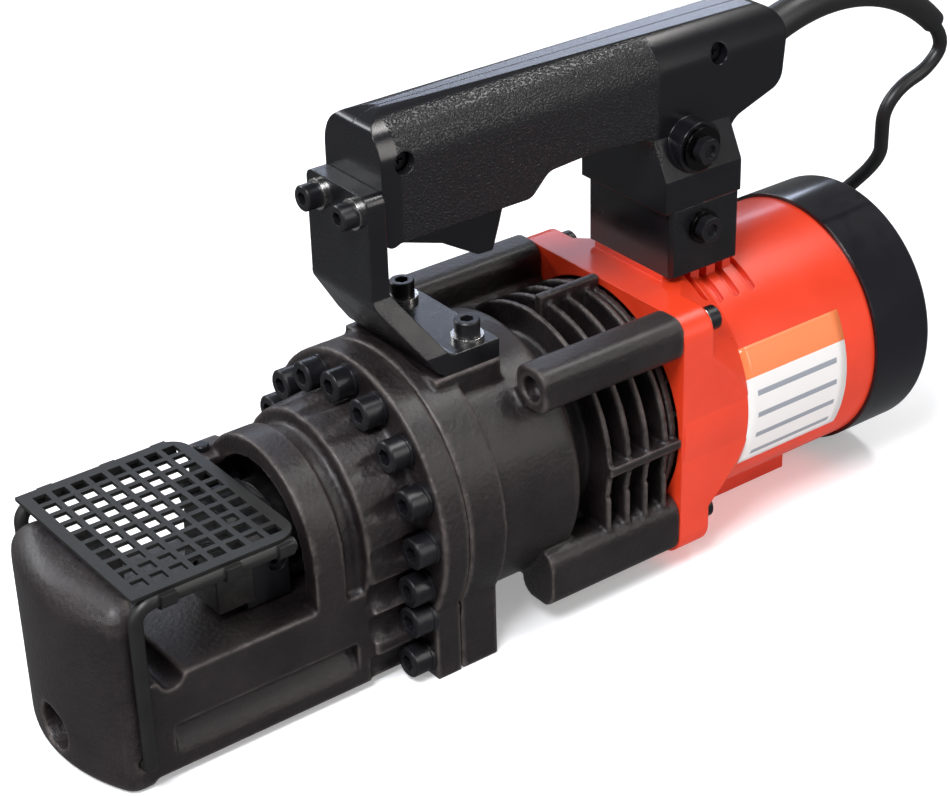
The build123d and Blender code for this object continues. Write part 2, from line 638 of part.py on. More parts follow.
with BuildPart() as pump_block:
    disc(x_liner_back, x_pump_end - x_liner_back, block_radius - sliding_gap)
    chamfer(pump_block.edges(), 1.0)
    disc(x_eccentric - 2, x_pump_end - x_eccentric + 2, lobe_bearing_radius + eccentricity + 1.0,
         at=gear_axis, mode=Mode.SUBTRACT)
    disc(x_eccentric - 12, 10.0, bearing_outer, at=gear_axis, mode=Mode.SUBTRACT)
    with BuildSketch(Plane.XY.offset(gear_axis[1])) as plunger_bore:
        with Locations((x_plunger, 0.0)):
            Circle(plunger_radius + sliding_gap)
    extrude(plunger_bore.sketch, amount=plunger_bottom + plunger_length + 6.0 - gear_axis[1], mode=Mode.SUBTRACT)
    disc(x_liner_back, x_plunger - x_liner_back, 2.5, at=(0.0, plunger_bottom + plunger_length + 3.0),
         mode=Mode.SUBTRACT)

with BuildPart() as pump_plunger:
    with BuildSketch(Plane.XY.offset(plunger_bottom)) as plunger_end:
        with Locations((x_plunger, 0.0)):
            Circle(plunger_radius)
    extrude(plunger_end.sketch, amount=plunger_length)
    chamfer(pump_plunger.edges(), 0.5)

lobe_axis = (gear_axis[0], gear_axis[1] + eccentricity)
with BuildPart() as eccentric_shaft:
    disc(x_eccentric - 12, x_bearing_plate + 8.0 - x_eccentric + 12, shaft_radius, at=gear_axis)
    disc(x_eccentric, 10.0, lobe_radius, at=lobe_axis)

eccentric_bearing = ball_bearing(x_eccentric + 1.0, 8.0, lobe_bearing_radius, lobe_radius, lobe_axis)

with BuildPart() as drive_gear:
    toothed(x_gears, gear_width, gear_teeth, gear_axis, 90.0 + 180.0 / gear_teeth)
    disc(x_gears, gear_width, shaft_radius, at=gear_axis, mode=Mode.SUBTRACT)

motor_axis = (0.0, axis_height)
front_bearing_radius = 12.0
armature_shaft_radius = 5.0
with BuildPart() as bearing_plate:
    disc(x_bearing_plate, bearing_plate_thickness, block_radius - sliding_gap)
    disc(x_bearing_plate, 8.0, bearing_outer, at=gear_axis, mode=Mode.SUBTRACT)
    disc(x_bearing_plate + 4.0, 10.0, front_bearing_radius, mode=Mode.SUBTRACT)
    disc(x_bearing_plate, 4.0, armature_shaft_radius + 1.0, mode=Mode.SUBTRACT)

front_race = ball_bearing(x_eccentric - 11, 8.0, bearing_outer, shaft_radius + sliding_gap, gear_axis)
rear_race = ball_bearing(x_bearing_plate, 8.0, bearing_outer, shaft_radius + sliding_gap, gear_axis)

# ================================================================ motor
stack_start = 18.0
stack_length = 62.0
stack_radius = 27.0
stator_inner = 28.0
stator_outer = 58.0
commutator_start = 92.0
commutator_length = 20.0
commutator_radius = 15.0
fan_start = -12.0
fan_length = 10.0
fan_radius = 44.0
rear_bearing_start = barrel_length + 12.0
rear_bearing_radius = 11.0
housing_bore = motor_radius - shell_wall
x_pinion_end = x_gears + gear_width + 1.0

with BuildPart() as armature_shaft:
    toothed(x_gears - 1.0, gear_width + 2.0, pinion_teeth, motor_axis, -90.0)
    disc(x_pinion_end, x_bearing_plate - x_pinion_end, 3.7)
    disc(x_bearing_plate, x_housing + rear_bearing_start + 8.0 - x_bearing_plate, armature_shaft_radius)

with BuildPart() as armature_core:
    disc(x_housing + stack_start, stack_length, stack_radius, armature_shaft_radius)
    with BuildSketch(across(x_housing + stack_start)) as slots:
        with Locations(motor_axis):
            with PolarLocations(stack_radius - 3.0, 12):
                Rectangle(7.0, 3.0)
    extrude(slots.sketch, amount=stack_length, mode=Mode.SUBTRACT)

with BuildPart() as commutator:
    disc(x_housing + commutator_start, commutator_length, commutator_radius, armature_shaft_radius)
    chamfer(commutator.edges().filter_by(GeomType.CIRCLE), 0.6)

with BuildPart() as cooling_fan:
    disc(x_housing + fan_start, 2.0, fan_radius, armature_shaft_radius)
    disc(x_housing + fan_start, fan_length, 12.0, armature_shaft_radius)
    with BuildSketch(across(x_housing + fan_start + 1.0)) as blades:
        with Locations(motor_axis):
            with PolarLocations((fan_radius + 14.0) / 2, 14):
                Rectangle(fan_radius - 14.0, 2.0)
    extrude(blades.sketch, amount=fan_length - 1.0)

with BuildPart() as stator:
    disc(x_housing + stack_start, stack_length, stator_outer, stator_inner)
    with BuildSketch(across(x_housing + stack_start)) as windows:
        with Locations(motor_axis):
            with PolarLocations(40.0, 2, start_angle=0):
                Rectangle(14.0, 44.0)
    extrude(windows.sketch, amount=stack_length, mode=Mode.SUBTRACT)

coil_overhang = 12.0
with BuildPart() as field_coils:
    for x_coil in (x_housing + stack_start - coil_overhang, x_housing + stack_start + stack_length):
        with BuildSketch(across(x_coil)) as coil_ends:
            with Locations(motor_axis):
                Circle(50.0)
                Circle(32.0, mode=Mode.SUBTRACT)
                Rectangle(120.0, 12.0, mode=Mode.SUBTRACT)
        extrude(coil_ends.sketch, amount=coil_overhang)

brush_size = (10.0, 7.0)
brush_middle = x_housing + commutator_start + commutator_length / 2
holder_wall = 1.0
with BuildPart() as brushes:
    for side in (-1, 1):
        ends = sorted((side * (commutator_radius + sliding_gap), side * 34.0))
        block((brush_middle - brush_size[0] / 2, brush_middle + brush_size[0] / 2), ends,
              (axis_height - brush_size[1] / 2, axis_height + brush_size[1] / 2))
    disc(x_housing + commutator_start, commutator_length, commutator_radius + sliding_gap, mode=Mode.SUBTRACT)

with BuildPart() as brush_holders:
    for side in (-1, 1):
        ends = sorted((side * (commutator_radius + 3.0), side * 42.0))
        for grow, mode in ((holder_wall, Mode.ADD), (0.0, Mode.SUBTRACT)):
            block((brush_middle - brush_size[0] / 2 - grow, brush_middle + brush_size[0] / 2 + grow), ends,
                  (axis_height - brush_size[1] / 2 - grow, axis_height + brush_size[1] / 2 + grow), mode=mode)

carrier_thickness = 16.0
with BuildPart() as brush_carrier:
    disc(brush_middle - carrier_thickness / 2, carrier_thickness, housing_bore, commutator_radius + 3.0)
    block((brush_middle - brush_size[0] / 2 - holder_wall, brush_middle + brush_size[0] / 2 + holder_wall),
          (-46.0, 46.0), (axis_height - brush_size[1] / 2 - holder_wall,
                          axis_height + brush_size[1] / 2 + holder_wall), mode=Mode.SUBTRACT)
    with BuildSketch(across(brush_middle - carrier_thickness / 2)) as air_holes:
        with Locations(motor_axis):
            with PolarLocations(48.0, 6, start_angle=30):
                Circle(9.0)
    extrude(air_holes.sketch, amount=carrier_thickness, mode=Mode.SUBTRACT)

front_motor_race = ball_bearing(x_bearing_plate + 4.0, 9.0, front_bearing_radius,
                                armature_shaft_radius + sliding_gap, motor_axis)
rear_motor_race = ball_bearing(x_housing + rear_bearing_start, 7.0, rear_bearing_radius,
                               armature_shaft_radius + sliding_gap, motor_axis)
with BuildPart() as ball_bearings:
    for race in (front_race, rear_race, front_motor_race, rear_motor_race):
        add(race.part)

# ================================================================ motor housing
blend_length = 27.0
blend_radius = 82.0
motor_foot_half_width = 25.0
motor_foot_length = 95.0
pedestal_half_width = 27.0
x_mount = x_housing + 1.0
mount_length = 46.5
lug_half_width = 10.0
lug_x = (x_mount + 10.0, x_mount + 36.0)
lug_top = 183.0
lower_bolt = (x_mount + 21.0, 175.0)
upper_bolt = (x_mount + 18.0, 219.0)
mount_bolt_size = 8.0
vent_count = 4
vent_pitch = 11.0
vent_size = (22.0, 5.0)
vent_depth = 2.6

with BuildPart() as blend:
    with BuildSketch(across(x_housing - 2.0)) as blend_front:
        with Locations(motor_axis):
            Circle(blend_radius)
    with BuildSketch(across(x_housing + blend_length)) as blend_back:
        with Locations(motor_axis):
            Circle(plate_half_width)
    loft([blend_front.sketch.face(), blend_back.sketch.face()])
    block((x_housing - 2.0, x_housing + blend_length), (-plate_half_width, plate_half_width),
          (axis_height - plate_half_width - 1.0, axis_height + plate_half_width + 1.0), mode=Mode.INTERSECT)

# Shallow grooves run down from under the mount on both shoulders.
with BuildPart() as vent_grooves:
    for side in (-1, 1):
        with BuildSketch(Plane.XY.offset(axis_height + 20)) as vent:
            with Locations((x_mount + 33.0, side * 31.0)):
                with GridLocations(vent_pitch, 0, vent_count, 1):
                    SlotOverall(*vent_size, rotation=90)
        extrude(vent.sketch, amount=60.0)
    disc(x_housing, barrel_length, motor_radius - vent_depth, mode=Mode.SUBTRACT)

with BuildPart() as motor_housing:
    with BuildSketch(across(x_plate)) as plate_outline:
        with Locations(motor_axis):
            Rectangle(2 * plate_half_width, 2 * plate_half_width + 2.0)
            fillet(plate_outline.vertices(), plate_radius)
    extrude(plate_outline.sketch, amount=plate_thickness)
    fillet(motor_housing.edges().group_by(Axis.X)[-1], 2.0)
    add(blend.part)
    disc(x_plate + 1, x_cap - x_plate - 1, motor_radius)
    block((x_housing - 1, x_housing + motor_foot_length), (-motor_foot_half_width, motor_foot_half_width),
          (0.0, axis_height))
    block((x_mount, x_mount + mount_length), (-pedestal_half_width, pedestal_half_width),
          (axis_height, mount_bottom))
    block(lug_x, (-lug_half_width, lug_half_width), (axis_height, lug_top))
    for side in (-1, 1):
        for y, z in (lug_spot, low_screw_spot):
            disc(x_housing, 40.0, housing_screw * 0.8 + 1.6, at=(side * y, z), mode=Mode.SUBTRACT)
            disc(x_plate, plate_thickness, housing_screw / 2 + hole_gap, at=(side * y, z), mode=Mode.SUBTRACT)
    disc(x_plate, x_cap - x_plate, housing_bore, mode=Mode.SUBTRACT)
    # Four ribs hold the stator in the bore.
    for turn in range(4):
        angle = math.radians(45 + 90 * turn)
        inner = (stator_outer * math.cos(angle), axis_height + stator_outer * math.sin(angle))
        outer = ((housing_bore + 1) * math.cos(angle), axis_height + (housing_bore + 1) * math.sin(angle))
        web(x_housing + stack_start, x_housing + stack_start + stack_length, inner, outer, 8.0)
    disc(x_housing + stack_start, stack_length, stator_outer, mode=Mode.SUBTRACT)
    cross_pin(*lower_bolt, (-lug_half_width - 1, lug_half_width + 1), mount_bolt_size / 2 + hole_gap,
              mode=Mode.SUBTRACT)
    add(vent_grooves.part, mode=Mode.SUBTRACT)

housing_spots = [(side * y, z) for side in (-1, 1) for y, z in (lug_spot, low_screw_spot)]
housing_washer = 1.6
housing_bolts = cap_screws(across(x_housing + housing_washer), housing_spots, housing_screw,
                           housing_washer + plate_thickness + 22.0)
housing_washers = washers(across(x_housing), housing_spots, housing_screw * 0.95, housing_screw / 2 + 0.2,
                          housing_washer)

cap_screw_spots = [(side * 36.0, axis_height + rise * 36.0) for side in (-1, 1) for rise in (-1, 1)]
with BuildPart() as end_cap:
    disc(x_cap, cap_length, cap_radius)
    disc(x_rim, dome_height, cap_radius - 10.0)
    fillet(end_cap.edges().filter_by(GeomType.CIRCLE).group_by(Axis.X)[-1], 4.0)
    fillet(end_cap.edges().filter_by(GeomType.CIRCLE).filter_by_position(Axis.X, x_rim - 0.1, x_rim + 0.1)
           .sort_by(SortBy.LENGTH)[-1], 3.0)
    disc(x_cap, cap_length - shell_wall, cap_radius - shell_wall - 2.0, mode=Mode.SUBTRACT)
    disc(x_housing + rear_bearing_start, x_rim - x_housing - rear_bearing_start, rear_bearing_radius + 5.0)
    disc(x_housing + rear_bearing_start, 8.0, rear_bearing_radius, mode=Mode.SUBTRACT)
    disc(x_housing + rear_bearing_start + 8.0, 3.0, armature_shaft_radius + 2.0, mode=Mode.SUBTRACT)
    for spot in cap_screw_spots:
        disc(x_cap, cap_length, 6.0, at=spot)
        disc(x_cap, 25.0, 2.5 + thread_gap, at=spot, mode=Mode.SUBTRACT)
    with BuildSketch(across(x_rim - shell_wall - 1)) as louvres:
        for row in range(-4, 5):
            width = 2 * math.sqrt((cap_radius - 17.0) ** 2 - (9.0 * row) ** 2) - 24.0 * (abs(row) in (4,))
            with Locations((0.0, axis_height + 9.0 * row)):
                SlotOverall(width, 3.6)
        for spot in cap_screw_spots:
            with Locations(spot):
                Circle(8.0, mode=Mode.SUBTRACT)
        with Locations(motor_axis):
            Circle(rear_bearing_radius + 6.0, mode=Mode.SUBTRACT)
    extrude(louvres.sketch, amount=20.0, mode=Mode.SUBTRACT)
    for spot in cap_screw_spots:
        disc(x_rim + dome_height - 4.0, 4.0, 4.6, at=spot, mode=Mode.SUBTRACT)
        disc(x_cap, cap_length + dome_height, 2.5 + hole_gap, at=spot, mode=Mode.SUBTRACT)

x_cap_seat = x_rim + dome_height - 4.0
end_cap_screws = cap_screws(across(x_cap_seat), cap_screw_spots, 4.0, x_cap_seat - x_cap)


# ================================================================ bracket
x_bracket = x_flange - 1.0
x_handle = x_bracket + bracket_thickness
bracket_top = 245.0
front_bolt_spots = [(-14.5, 235.0), (14.5, 235.0)]
front_bolt = 8.0
front_washer = 2.0
base_washer = 2.4

with BuildPart() as handle_bracket:
    base_end = x_joint + pad_length
    base_top = bracket_seat + bracket_thickness
    slab([(base_end, bracket_seat), (x_joint + 16, bracket_seat), (x_joint + 11, bracket_seat + 3.5),
          (x_bracket, 190.0), (x_bracket, bracket_top), (x_handle, bracket_top), (x_handle, 194.0),
          (x_joint + 19, base_top), (base_end, base_top)], (-bracket_half_width, bracket_half_width))
    for x_bend, z_bend, bend in ((x_bracket, 190.0, 12.0), (x_handle, 194.0, 6.0),
                                 (x_joint + 19, base_top, 5.0)):
        fillet(handle_bracket.edges().filter_by(Axis.Y).filter_by_position(Axis.X, x_bend - 0.1, x_bend + 0.1)
               .filter_by_position(Axis.Z, z_bend - 0.1, z_bend + 0.1), bend)
    with BuildSketch(across(x_bracket - 5)) as front_view:
        with BuildLine():
            Polyline((-bracket_half_width, bracket_seat - 1), (-bracket_half_width, base_top + 2),
                     (-bracket_top_half_width, 193.0), (-bracket_top_half_width, bracket_top + 1),
                     (bracket_top_half_width, bracket_top + 1), (bracket_top_half_width, 193.0),
                     (bracket_half_width, base_top + 2), (bracket_half_width, bracket_seat - 1), close=True)
        make_face()
    extrude(front_view.sketch, amount=base_end - x_bracket + 10, mode=Mode.INTERSECT)
    corners = handle_bracket.edges().filter_by(Axis.X).group_by(Axis.Z)[-1]
    fillet(corners, 5.0)
    for spot in front_bolt_spots:
        disc(x_bracket, bracket_thickness, front_bolt / 2 + hole_gap, at=spot, mode=Mode.SUBTRACT)
    with BuildSketch(Plane.XY.offset(bracket_seat)) as base_holes:
        with Locations(*bracket_screw_spots):
            Circle(4.0 + hole_gap)
    extrude(base_holes.sketch, amount=bracket_thickness, mode=Mode.SUBTRACT)

bracket_base_screws = cap_screws(Plane.XY.offset(base_top + base_washer), bracket_screw_spots, 8.0,
                                 base_washer + bracket_thickness + 14.0)
bracket_base_washers = washers(Plane.XY.offset(base_top), bracket_screw_spots, 8.2, 4.2, base_washer)
facing_front = Plane(origin=(x_bracket - front_washer, 0, 0), x_dir=(0, 1, 0), z_dir=(-1, 0, 0))
front_spots = [(y, -z) for y, z in front_bolt_spots]
handle_bolt_depth = 9.0
bracket_front_screws = cap_screws(facing_front, front_spots, front_bolt,
                                  front_washer + bracket_thickness + handle_bolt_depth)
front_washer_plane = Plane(origin=(x_bracket, 0, 0), x_dir=(0, 1, 0), z_dir=(-1, 0, 0))
bracket_front_washers = washers(front_washer_plane, front_spots, 7.6, 4.2, front_washer)
with BuildPart() as bracket_screws:
    add(bracket_base_screws.part)
    add(bracket_front_screws.part)

# ================================================================ rear mount
tongue_x = (x_mount + 6.0, x_mount + 30.0)
tongue_half_width = 9.9
tongue_top = 232.0
with BuildPart() as mount_block:
    block((x_mount, x_mount + mount_length), (-mount_half_width, mount_half_width), (mount_bottom, mount_top))
    chamfer(mount_block.edges().filter_by(Axis.Z), 2.0)
    block(tongue_x, (-tongue_half_width, tongue_half_width), (mount_top, tongue_top))
    block((lug_x[0] - loose_gap, lug_x[1] + loose_gap), (-lug_half_width, lug_half_width),
          (mount_bottom, lug_top + loose_gap), mode=Mode.SUBTRACT)
    for bolt_spot in (lower_bolt, upper_bolt):
        cross_pin(*bolt_spot, (-mount_half_width, mount_half_width), mount_bolt_size / 2 + hole_gap,
                  mode=Mode.SUBTRACT)

# ================================================================ handle
handle_overhang = 39.5
x_handle_end = x_mount + mount_length + handle_overhang
handle_length = x_handle_end - x_handle
trigger_slot_x = (x_handle + 9.5, x_handle + 80.5)
trigger_half_width = 13.0
trigger_pivot = (x_handle + 17.0, 222.0)
trigger_pin_radius = 2.5
grip_bottom = 217.0
cavity_top = 262.0
leg_half_width = mount_half_width
boss_seat = mount_half_width + 0.2
handle_screw = 5.0
handle_screw_spots = [(x_handle + 13.0, 256.0), (x_handle_end - 47.0, 260.0)]
cord_hole_z = 250.0
boot_radius = 10.0

with BuildPart() as handle_shell:
    outline = [(x_handle, 213.0, 5.0), (x_handle + 9, grip_bottom, 4.0), (x_handle + 86, grip_bottom, 7.0),
               (x_handle + 97, 228.0, 9.0), (x_handle + 128, 230.0, 20.0), (x_mount - 4, 226.0, 7.0),
               (x_mount - 4, mount_top, 1.0), (x_mount + mount_length, mount_top, 1.0),
               (x_mount + mount_length, 222.0, 12.0), (x_handle_end - 4, 234.0, 10.0),
               (x_handle_end, handle_top - 2, 13.0), (x_handle + 12, handle_top, 20.0),
               (x_handle, handle_top - 4, 6.0)]
    with BuildSketch(Plane.XZ.offset(-handle_half_width * 2)) as side_view:
        with BuildLine():
            FilletPolyline(*[(x, z) for x, z, radius in outline], radius=[radius for x, z, radius in outline],
                           close=True)
        make_face()
    extrude(side_view.sketch, amount=handle_half_width * 4)
    with BuildSketch(across(x_handle - 1)) as grip_section:
        with Locations((0.0, (mount_top + handle_top) / 2)):
            Rectangle(2 * handle_half_width, handle_top - mount_top)
        fillet(grip_section.vertices().group_by(Axis.Y)[-1], handle_half_width - 1.0)
    extrude(grip_section.sketch, amount=handle_length + 2, mode=Mode.INTERSECT)
    with BuildSketch(across(x_mount - 4)) as leg_section:
        with BuildLine():
            Polyline((-leg_half_width, mount_top), (-leg_half_width, 205.0), (-handle_half_width, 225.0),
                     (handle_half_width, 225.0), (leg_half_width, 205.0), (leg_half_width, mount_top), close=True)
        make_face()
        fillet(leg_section.vertices().group_by(Axis.Y)[1], 4.0)
    extrude(leg_section.sketch, amount=mount_length + 4)
    for side in (-1, 1):
        cross_pin(*upper_bolt, sorted((side * 15.0, side * boss_seat)), 13.5)
    # Hollows for the switch, the trigger, the mount's tongue and the cord.
    block((x_handle + 15, x_handle + 156), (-18.0, 18.0), (233.0, cavity_top), mode=Mode.SUBTRACT)
    block(trigger_slot_x, (-trigger_half_width - loose_gap, trigger_half_width + loose_gap),
          (200.0, 246.0), mode=Mode.SUBTRACT)
    block((tongue_x[0] - 1, tongue_x[1] + 1), (-tongue_half_width - 0.1, tongue_half_width + 0.1),
          (mount_top, tongue_top + 1), mode=Mode.SUBTRACT)
    disc(x_handle + 150, handle_length - 150, 4.5, at=(0.0, cord_hole_z), mode=Mode.SUBTRACT)
    cross_pin(*upper_bolt, (-40.0, 40.0), mount_bolt_size / 2 + hole_gap, mode=Mode.SUBTRACT)
    cross_pin(*trigger_pivot, (-18.0, 18.0), trigger_pin_radius, mode=Mode.SUBTRACT)
    for spot in front_bolt_spots:
        disc(x_handle, handle_bolt_depth, front_bolt / 2 + thread_gap, at=spot, mode=Mode.SUBTRACT)
    for x_screw, z_screw in handle_screw_spots:
        cross_pin(x_screw, z_screw, (-40.0, -14.0), 5.5, mode=Mode.SUBTRACT)
        cross_pin(x_screw, z_screw, (-14.0, 12.0), handle_screw / 2 + thread_gap, mode=Mode.SUBTRACT)

with BuildPart() as handle_left:
    add(handle_shell.part)
    split(bisect_by=Plane.XZ, keep=Keep.TOP)

with BuildPart() as handle_right:
    add(handle_shell.part)
    split(bisect_by=Plane.XZ, keep=Keep.BOTTOM)

with BuildPart() as handle_screws:
    for x_screw, z_screw in handle_screw_spots:
        cross_pin(x_screw, z_screw, (-17.5, -14.0), 4.6)
        cross_pin(x_screw, z_screw, (-14.0, 12.0), handle_screw / 2)
        for turned in (0.0, 90.0):
            with BuildSketch(Plane.XZ.offset(17.5)) as cross_slot:
                with Locations((x_screw, z_screw)):
                    Rectangle(5.0, 1.2, rotation=turned)
            extrude(cross_slot.sketch, amount=-1.8, mode=Mode.SUBTRACT)

# ---------------------------------------------------------------- trigger and switch
with BuildPart() as trigger:
    slab([(x_handle + 10.5, 225.0), (x_handle + 10.5, 213.0), (x_handle + 40, 203.5), (x_handle + 61, 191.0),
          (x_handle + 70, 190.6), (x_handle + 74, 203.0), (x_handle + 78, grip_bottom), (x_handle + 78, 227.0)],
         (-trigger_half_width, trigger_half_width), corner=2.0)
    fillet(trigger.faces().filter_by(Axis.Y).edges(), 1.0)
    cross_pin(*trigger_pivot, (-trigger_half_width, trigger_half_width), trigger_pin_radius + sliding_gap,
              mode=Mode.SUBTRACT)

with BuildPart() as trigger_pin:
    cross_pin(*trigger_pivot, (-18.0, 18.0), trigger_pin_radius)

switch_bottom = 246.5
with BuildPart() as switch_body:
    block((x_handle + 36, x_handle + 86), (-11.0, 11.0), (switch_bottom, cavity_top))
    chamfer(switch_body.edges().filter_by(Axis.Z), 1.5)

x_trigger_spring = x_handle + 56.0
trigger_spring_bottom = 226.5
trigger_spring_length = switch_bottom - trigger_spring_bottom - 0.6
trigger_wire = 1.0
with BuildPart() as trigger_spring:
    with BuildLine() as trigger_line:
        Helix(pitch=(trigger_spring_length - trigger_wire) / 6, height=trigger_spring_length - trigger_wire,
              radius=4.0, center=(x_trigger_spring, 0, trigger_spring_bottom + 0.3 + trigger_wire / 2))
    with BuildSketch(Plane(origin=trigger_line.line @ 0, z_dir=trigger_line.line % 0)):
        Circle(trigger_wire / 2)
    sweep(is_frenet=True)


def hex_bolts(x, z, head_y, size, nut_y):
    """A hexagon bolt across the tool with its head outside head_y, and its nut outside nut_y."""
    with BuildPart() as bolt:
        with BuildSketch(Plane.XZ.offset(-head_y)) as bolt_head:
            with Locations((x, z)):
                RegularPolygon(size * 0.92, 6)
        extrude(bolt_head.sketch, amount=size * 0.64)
        cross_pin(x, z, (head_y - size * 0.64, head_y), size * 0.86, mode=Mode.INTERSECT)
        cross_pin(x, z, (head_y - size * 0.64, head_y - size * 0.44), size * 0.45, mode=Mode.SUBTRACT)
        cross_pin(x, z, (head_y, nut_y + size * 0.95), size / 2)
    with BuildPart() as nut:
        with BuildSketch(Plane.XZ.offset(-nut_y)) as nut_face:
            with Locations((x, z)):
                RegularPolygon(size * 0.92, 6)
                Circle(size / 2 + thread_gap, mode=Mode.SUBTRACT)
        extrude(nut_face.sketch, amount=-size * 0.8)
    return bolt, nut


mount_washer = 2.2
lower_set = hex_bolts(*lower_bolt, -mount_half_width - mount_washer, mount_bolt_size, mount_half_width + mount_washer)
upper_set = hex_bolts(*upper_bolt, -boss_seat - mount_washer, mount_bolt_size, boss_seat + mount_washer)
with BuildPart() as mount_bolts:
    for piece in (*lower_set, *upper_set):
        add(piece.part)

with BuildPart() as handle_washers:
    add(bracket_base_washers.part)
    add(bracket_front_washers.part)
    for spot, seat, outer in ((lower_bolt, mount_half_width, 9.0), (upper_bolt, boss_seat, 11.5)):
        for side in (-1, 1):
            cross_pin(*spot, sorted((side * seat, side * (seat + mount_washer))), outer, mount_bolt_size / 2 + 0.2)

# ================================================================ cord
cord_diameter = 8.0
boot_end = (x_handle_end + 133.0, 0.0, 227.0)
boot_tip_radius = 6.5
coil_centre = (x_housing + 102.0, 150.0)
coil_mean_radius = 45.0
coil_rows = 4
tie_thickness = 1.0
tie_width = 14.0
coil_height = 15.0
coil_z = (tie_thickness, tie_thickness + coil_height)
coil_radii = (coil_mean_radius - coil_rows * cord_diameter / 2, coil_mean_radius + coil_rows * cord_diameter / 2)

# The cord's free route, from the boot's end down behind the motor to the coil.
cord_route = [boot_end,
              (x_handle_end + 146.0, 0.0, 214.0),
              (x_handle_end + 134.0, 1.0, 199.0),
              (x_handle_end + 115.0, 2.0, 194.0),
              (x_handle_end + 103.0, 3.0, 182.0),
              (x_handle_end + 106.0, 6.0, 166.0),
              (x_handle_end + 115.0, 14.0, 146.0),
              (x_handle_end + 112.0, 36.0, 120.0),
              (x_handle_end + 98.0, 60.0, 92.0),
              (x_handle_end + 79.0, 76.0, 64.0),
              (x_handle_end + 58.0, 84.0, 40.0),
              (x_handle_end + 47.0, 104.0, 21.0),
              (x_handle_end + 62.0, 132.0, 12.0)]
lead_route = [(coil_centre[0], coil_centre[1] + coil_radii[1] - cord_diameter / 2, coil_z[0] + cord_diameter / 2),
              (coil_centre[0] - 40.0, coil_centre[1] + coil_radii[1] - cord_diameter / 2, 13.0)]


def bend_radii(route):
    """The largest arc that each corner of a route has room for, 0.45 of its shorter run."""
    radii = []
    for before, corner, after in zip(route, route[1:], route[2:]):
        coming, going = Vector(*corner) - Vector(*before), Vector(*after) - Vector(*corner)
        turn = math.radians(coming.get_angle(going))
        radii.append(0.45 * min(coming.length, going.length) / math.tan(turn / 2))
    return radii


cord_radii = bend_radii(cord_route)
print("cord radii", [round(radius, 1) for radius in cord_radii])

with BuildPart() as cord:
    with BuildLine() as cord_line:
        FilletPolyline(*cord_route, radius=cord_radii)
    with BuildSketch(Plane(origin=cord_line.line @ 0, z_dir=cord_line.line % 0)):
        Circle(cord_diameter / 2)
    sweep()
    with BuildLine() as lead_line:
        Line(*lead_route)
    with BuildSketch(Plane(origin=lead_line.line @ 0, z_dir=lead_line.line % 0)):
        Circle(cord_diameter / 2)
    sweep()
cord_run = sum(edge.length for edge in (*cord_line.edges(), *lead_line.edges()))
print("cord volume", round(cord.part.volume), "section times length",
      round(math.pi * cord_diameter ** 2 / 4 * cord_run), "free length", round(cord_run))

with BuildPart() as cord_coil:
    with BuildSketch(Plane.XY.offset(coil_z[0])) as coil_ring:
        with Locations(coil_centre):
            Circle(coil_radii[1])
            Circle(coil_radii[0], mode=Mode.SUBTRACT)
    extrude(coil_ring.sketch, amount=coil_height)
    fillet(cord_coil.edges(), 3.0)

with BuildPart() as cord_tie:
    with BuildSketch(Plane.XY) as tie_outer:
        with Locations(coil_centre):
            Circle(coil_radii[1] + tie_thickness)
            Circle(coil_radii[0] - tie_thickness, mode=Mode.SUBTRACT)
    extrude(tie_outer.sketch, amount=coil_z[1] + tie_thickness)
    with BuildSketch(Plane.XY.offset(coil_z[0])) as tie_inner:
        with Locations(coil_centre):
            Circle(coil_radii[1])
            Circle(coil_radii[0], mode=Mode.SUBTRACT)
    extrude(tie_inner.sketch, amount=coil_height, mode=Mode.SUBTRACT)
    block((coil_centre[0] - coil_radii[1] - 5, coil_centre[0]),
          (coil_centre[1] - tie_width / 2, coil_centre[1] + tie_width / 2),
          (0.0, coil_z[1] + tie_thickness), mode=Mode.INTERSECT)

plug_body_length = 40.0
plug_tail_length = 22.0
plug_height = 26.0
plug_width = 34.0
pin_length = 19.0
pin_radius = 2.4
pin_spacing = 19.0
x_tail, y_plug, z_plug = lead_route[-1]
x_plug_body = x_tail - plug_tail_length
with BuildPart() as plug_body:
    with BuildSketch(across(x_tail)) as tail_end:
        with Locations((y_plug, z_plug)):
            Circle(cord_diameter / 2 + 1.2)
    with BuildSketch(across(x_plug_body)) as tail_root:
        with Locations((y_plug, z_plug)):
            Circle(8.5)
    loft([tail_end.sketch.face(), tail_root.sketch.face()])
    with BuildSketch(across(x_plug_body)) as plug_outline:
        with Locations((y_plug, z_plug)):
            RectangleRounded(plug_width, plug_height, 9.0)
    extrude(plug_outline.sketch, amount=-plug_body_length)
    fillet(plug_body.edges().group_by(Axis.X)[0], 2.0)

with BuildPart() as plug_pins:
    for side in (-1, 1):
        disc(x_plug_body - plug_body_length - pin_length, pin_length + 6.0, pin_radius,
             at=(y_plug + side * pin_spacing / 2, z_plug))
    fillet(plug_pins.edges().group_by(Axis.X)[0], 1.2)

with BuildPart() as plug:
    add(plug_body.part)
    add(plug_pins.part, mode=Mode.SUBTRACT)
    for pin in plug_pins.part.solids():
        add(pin)

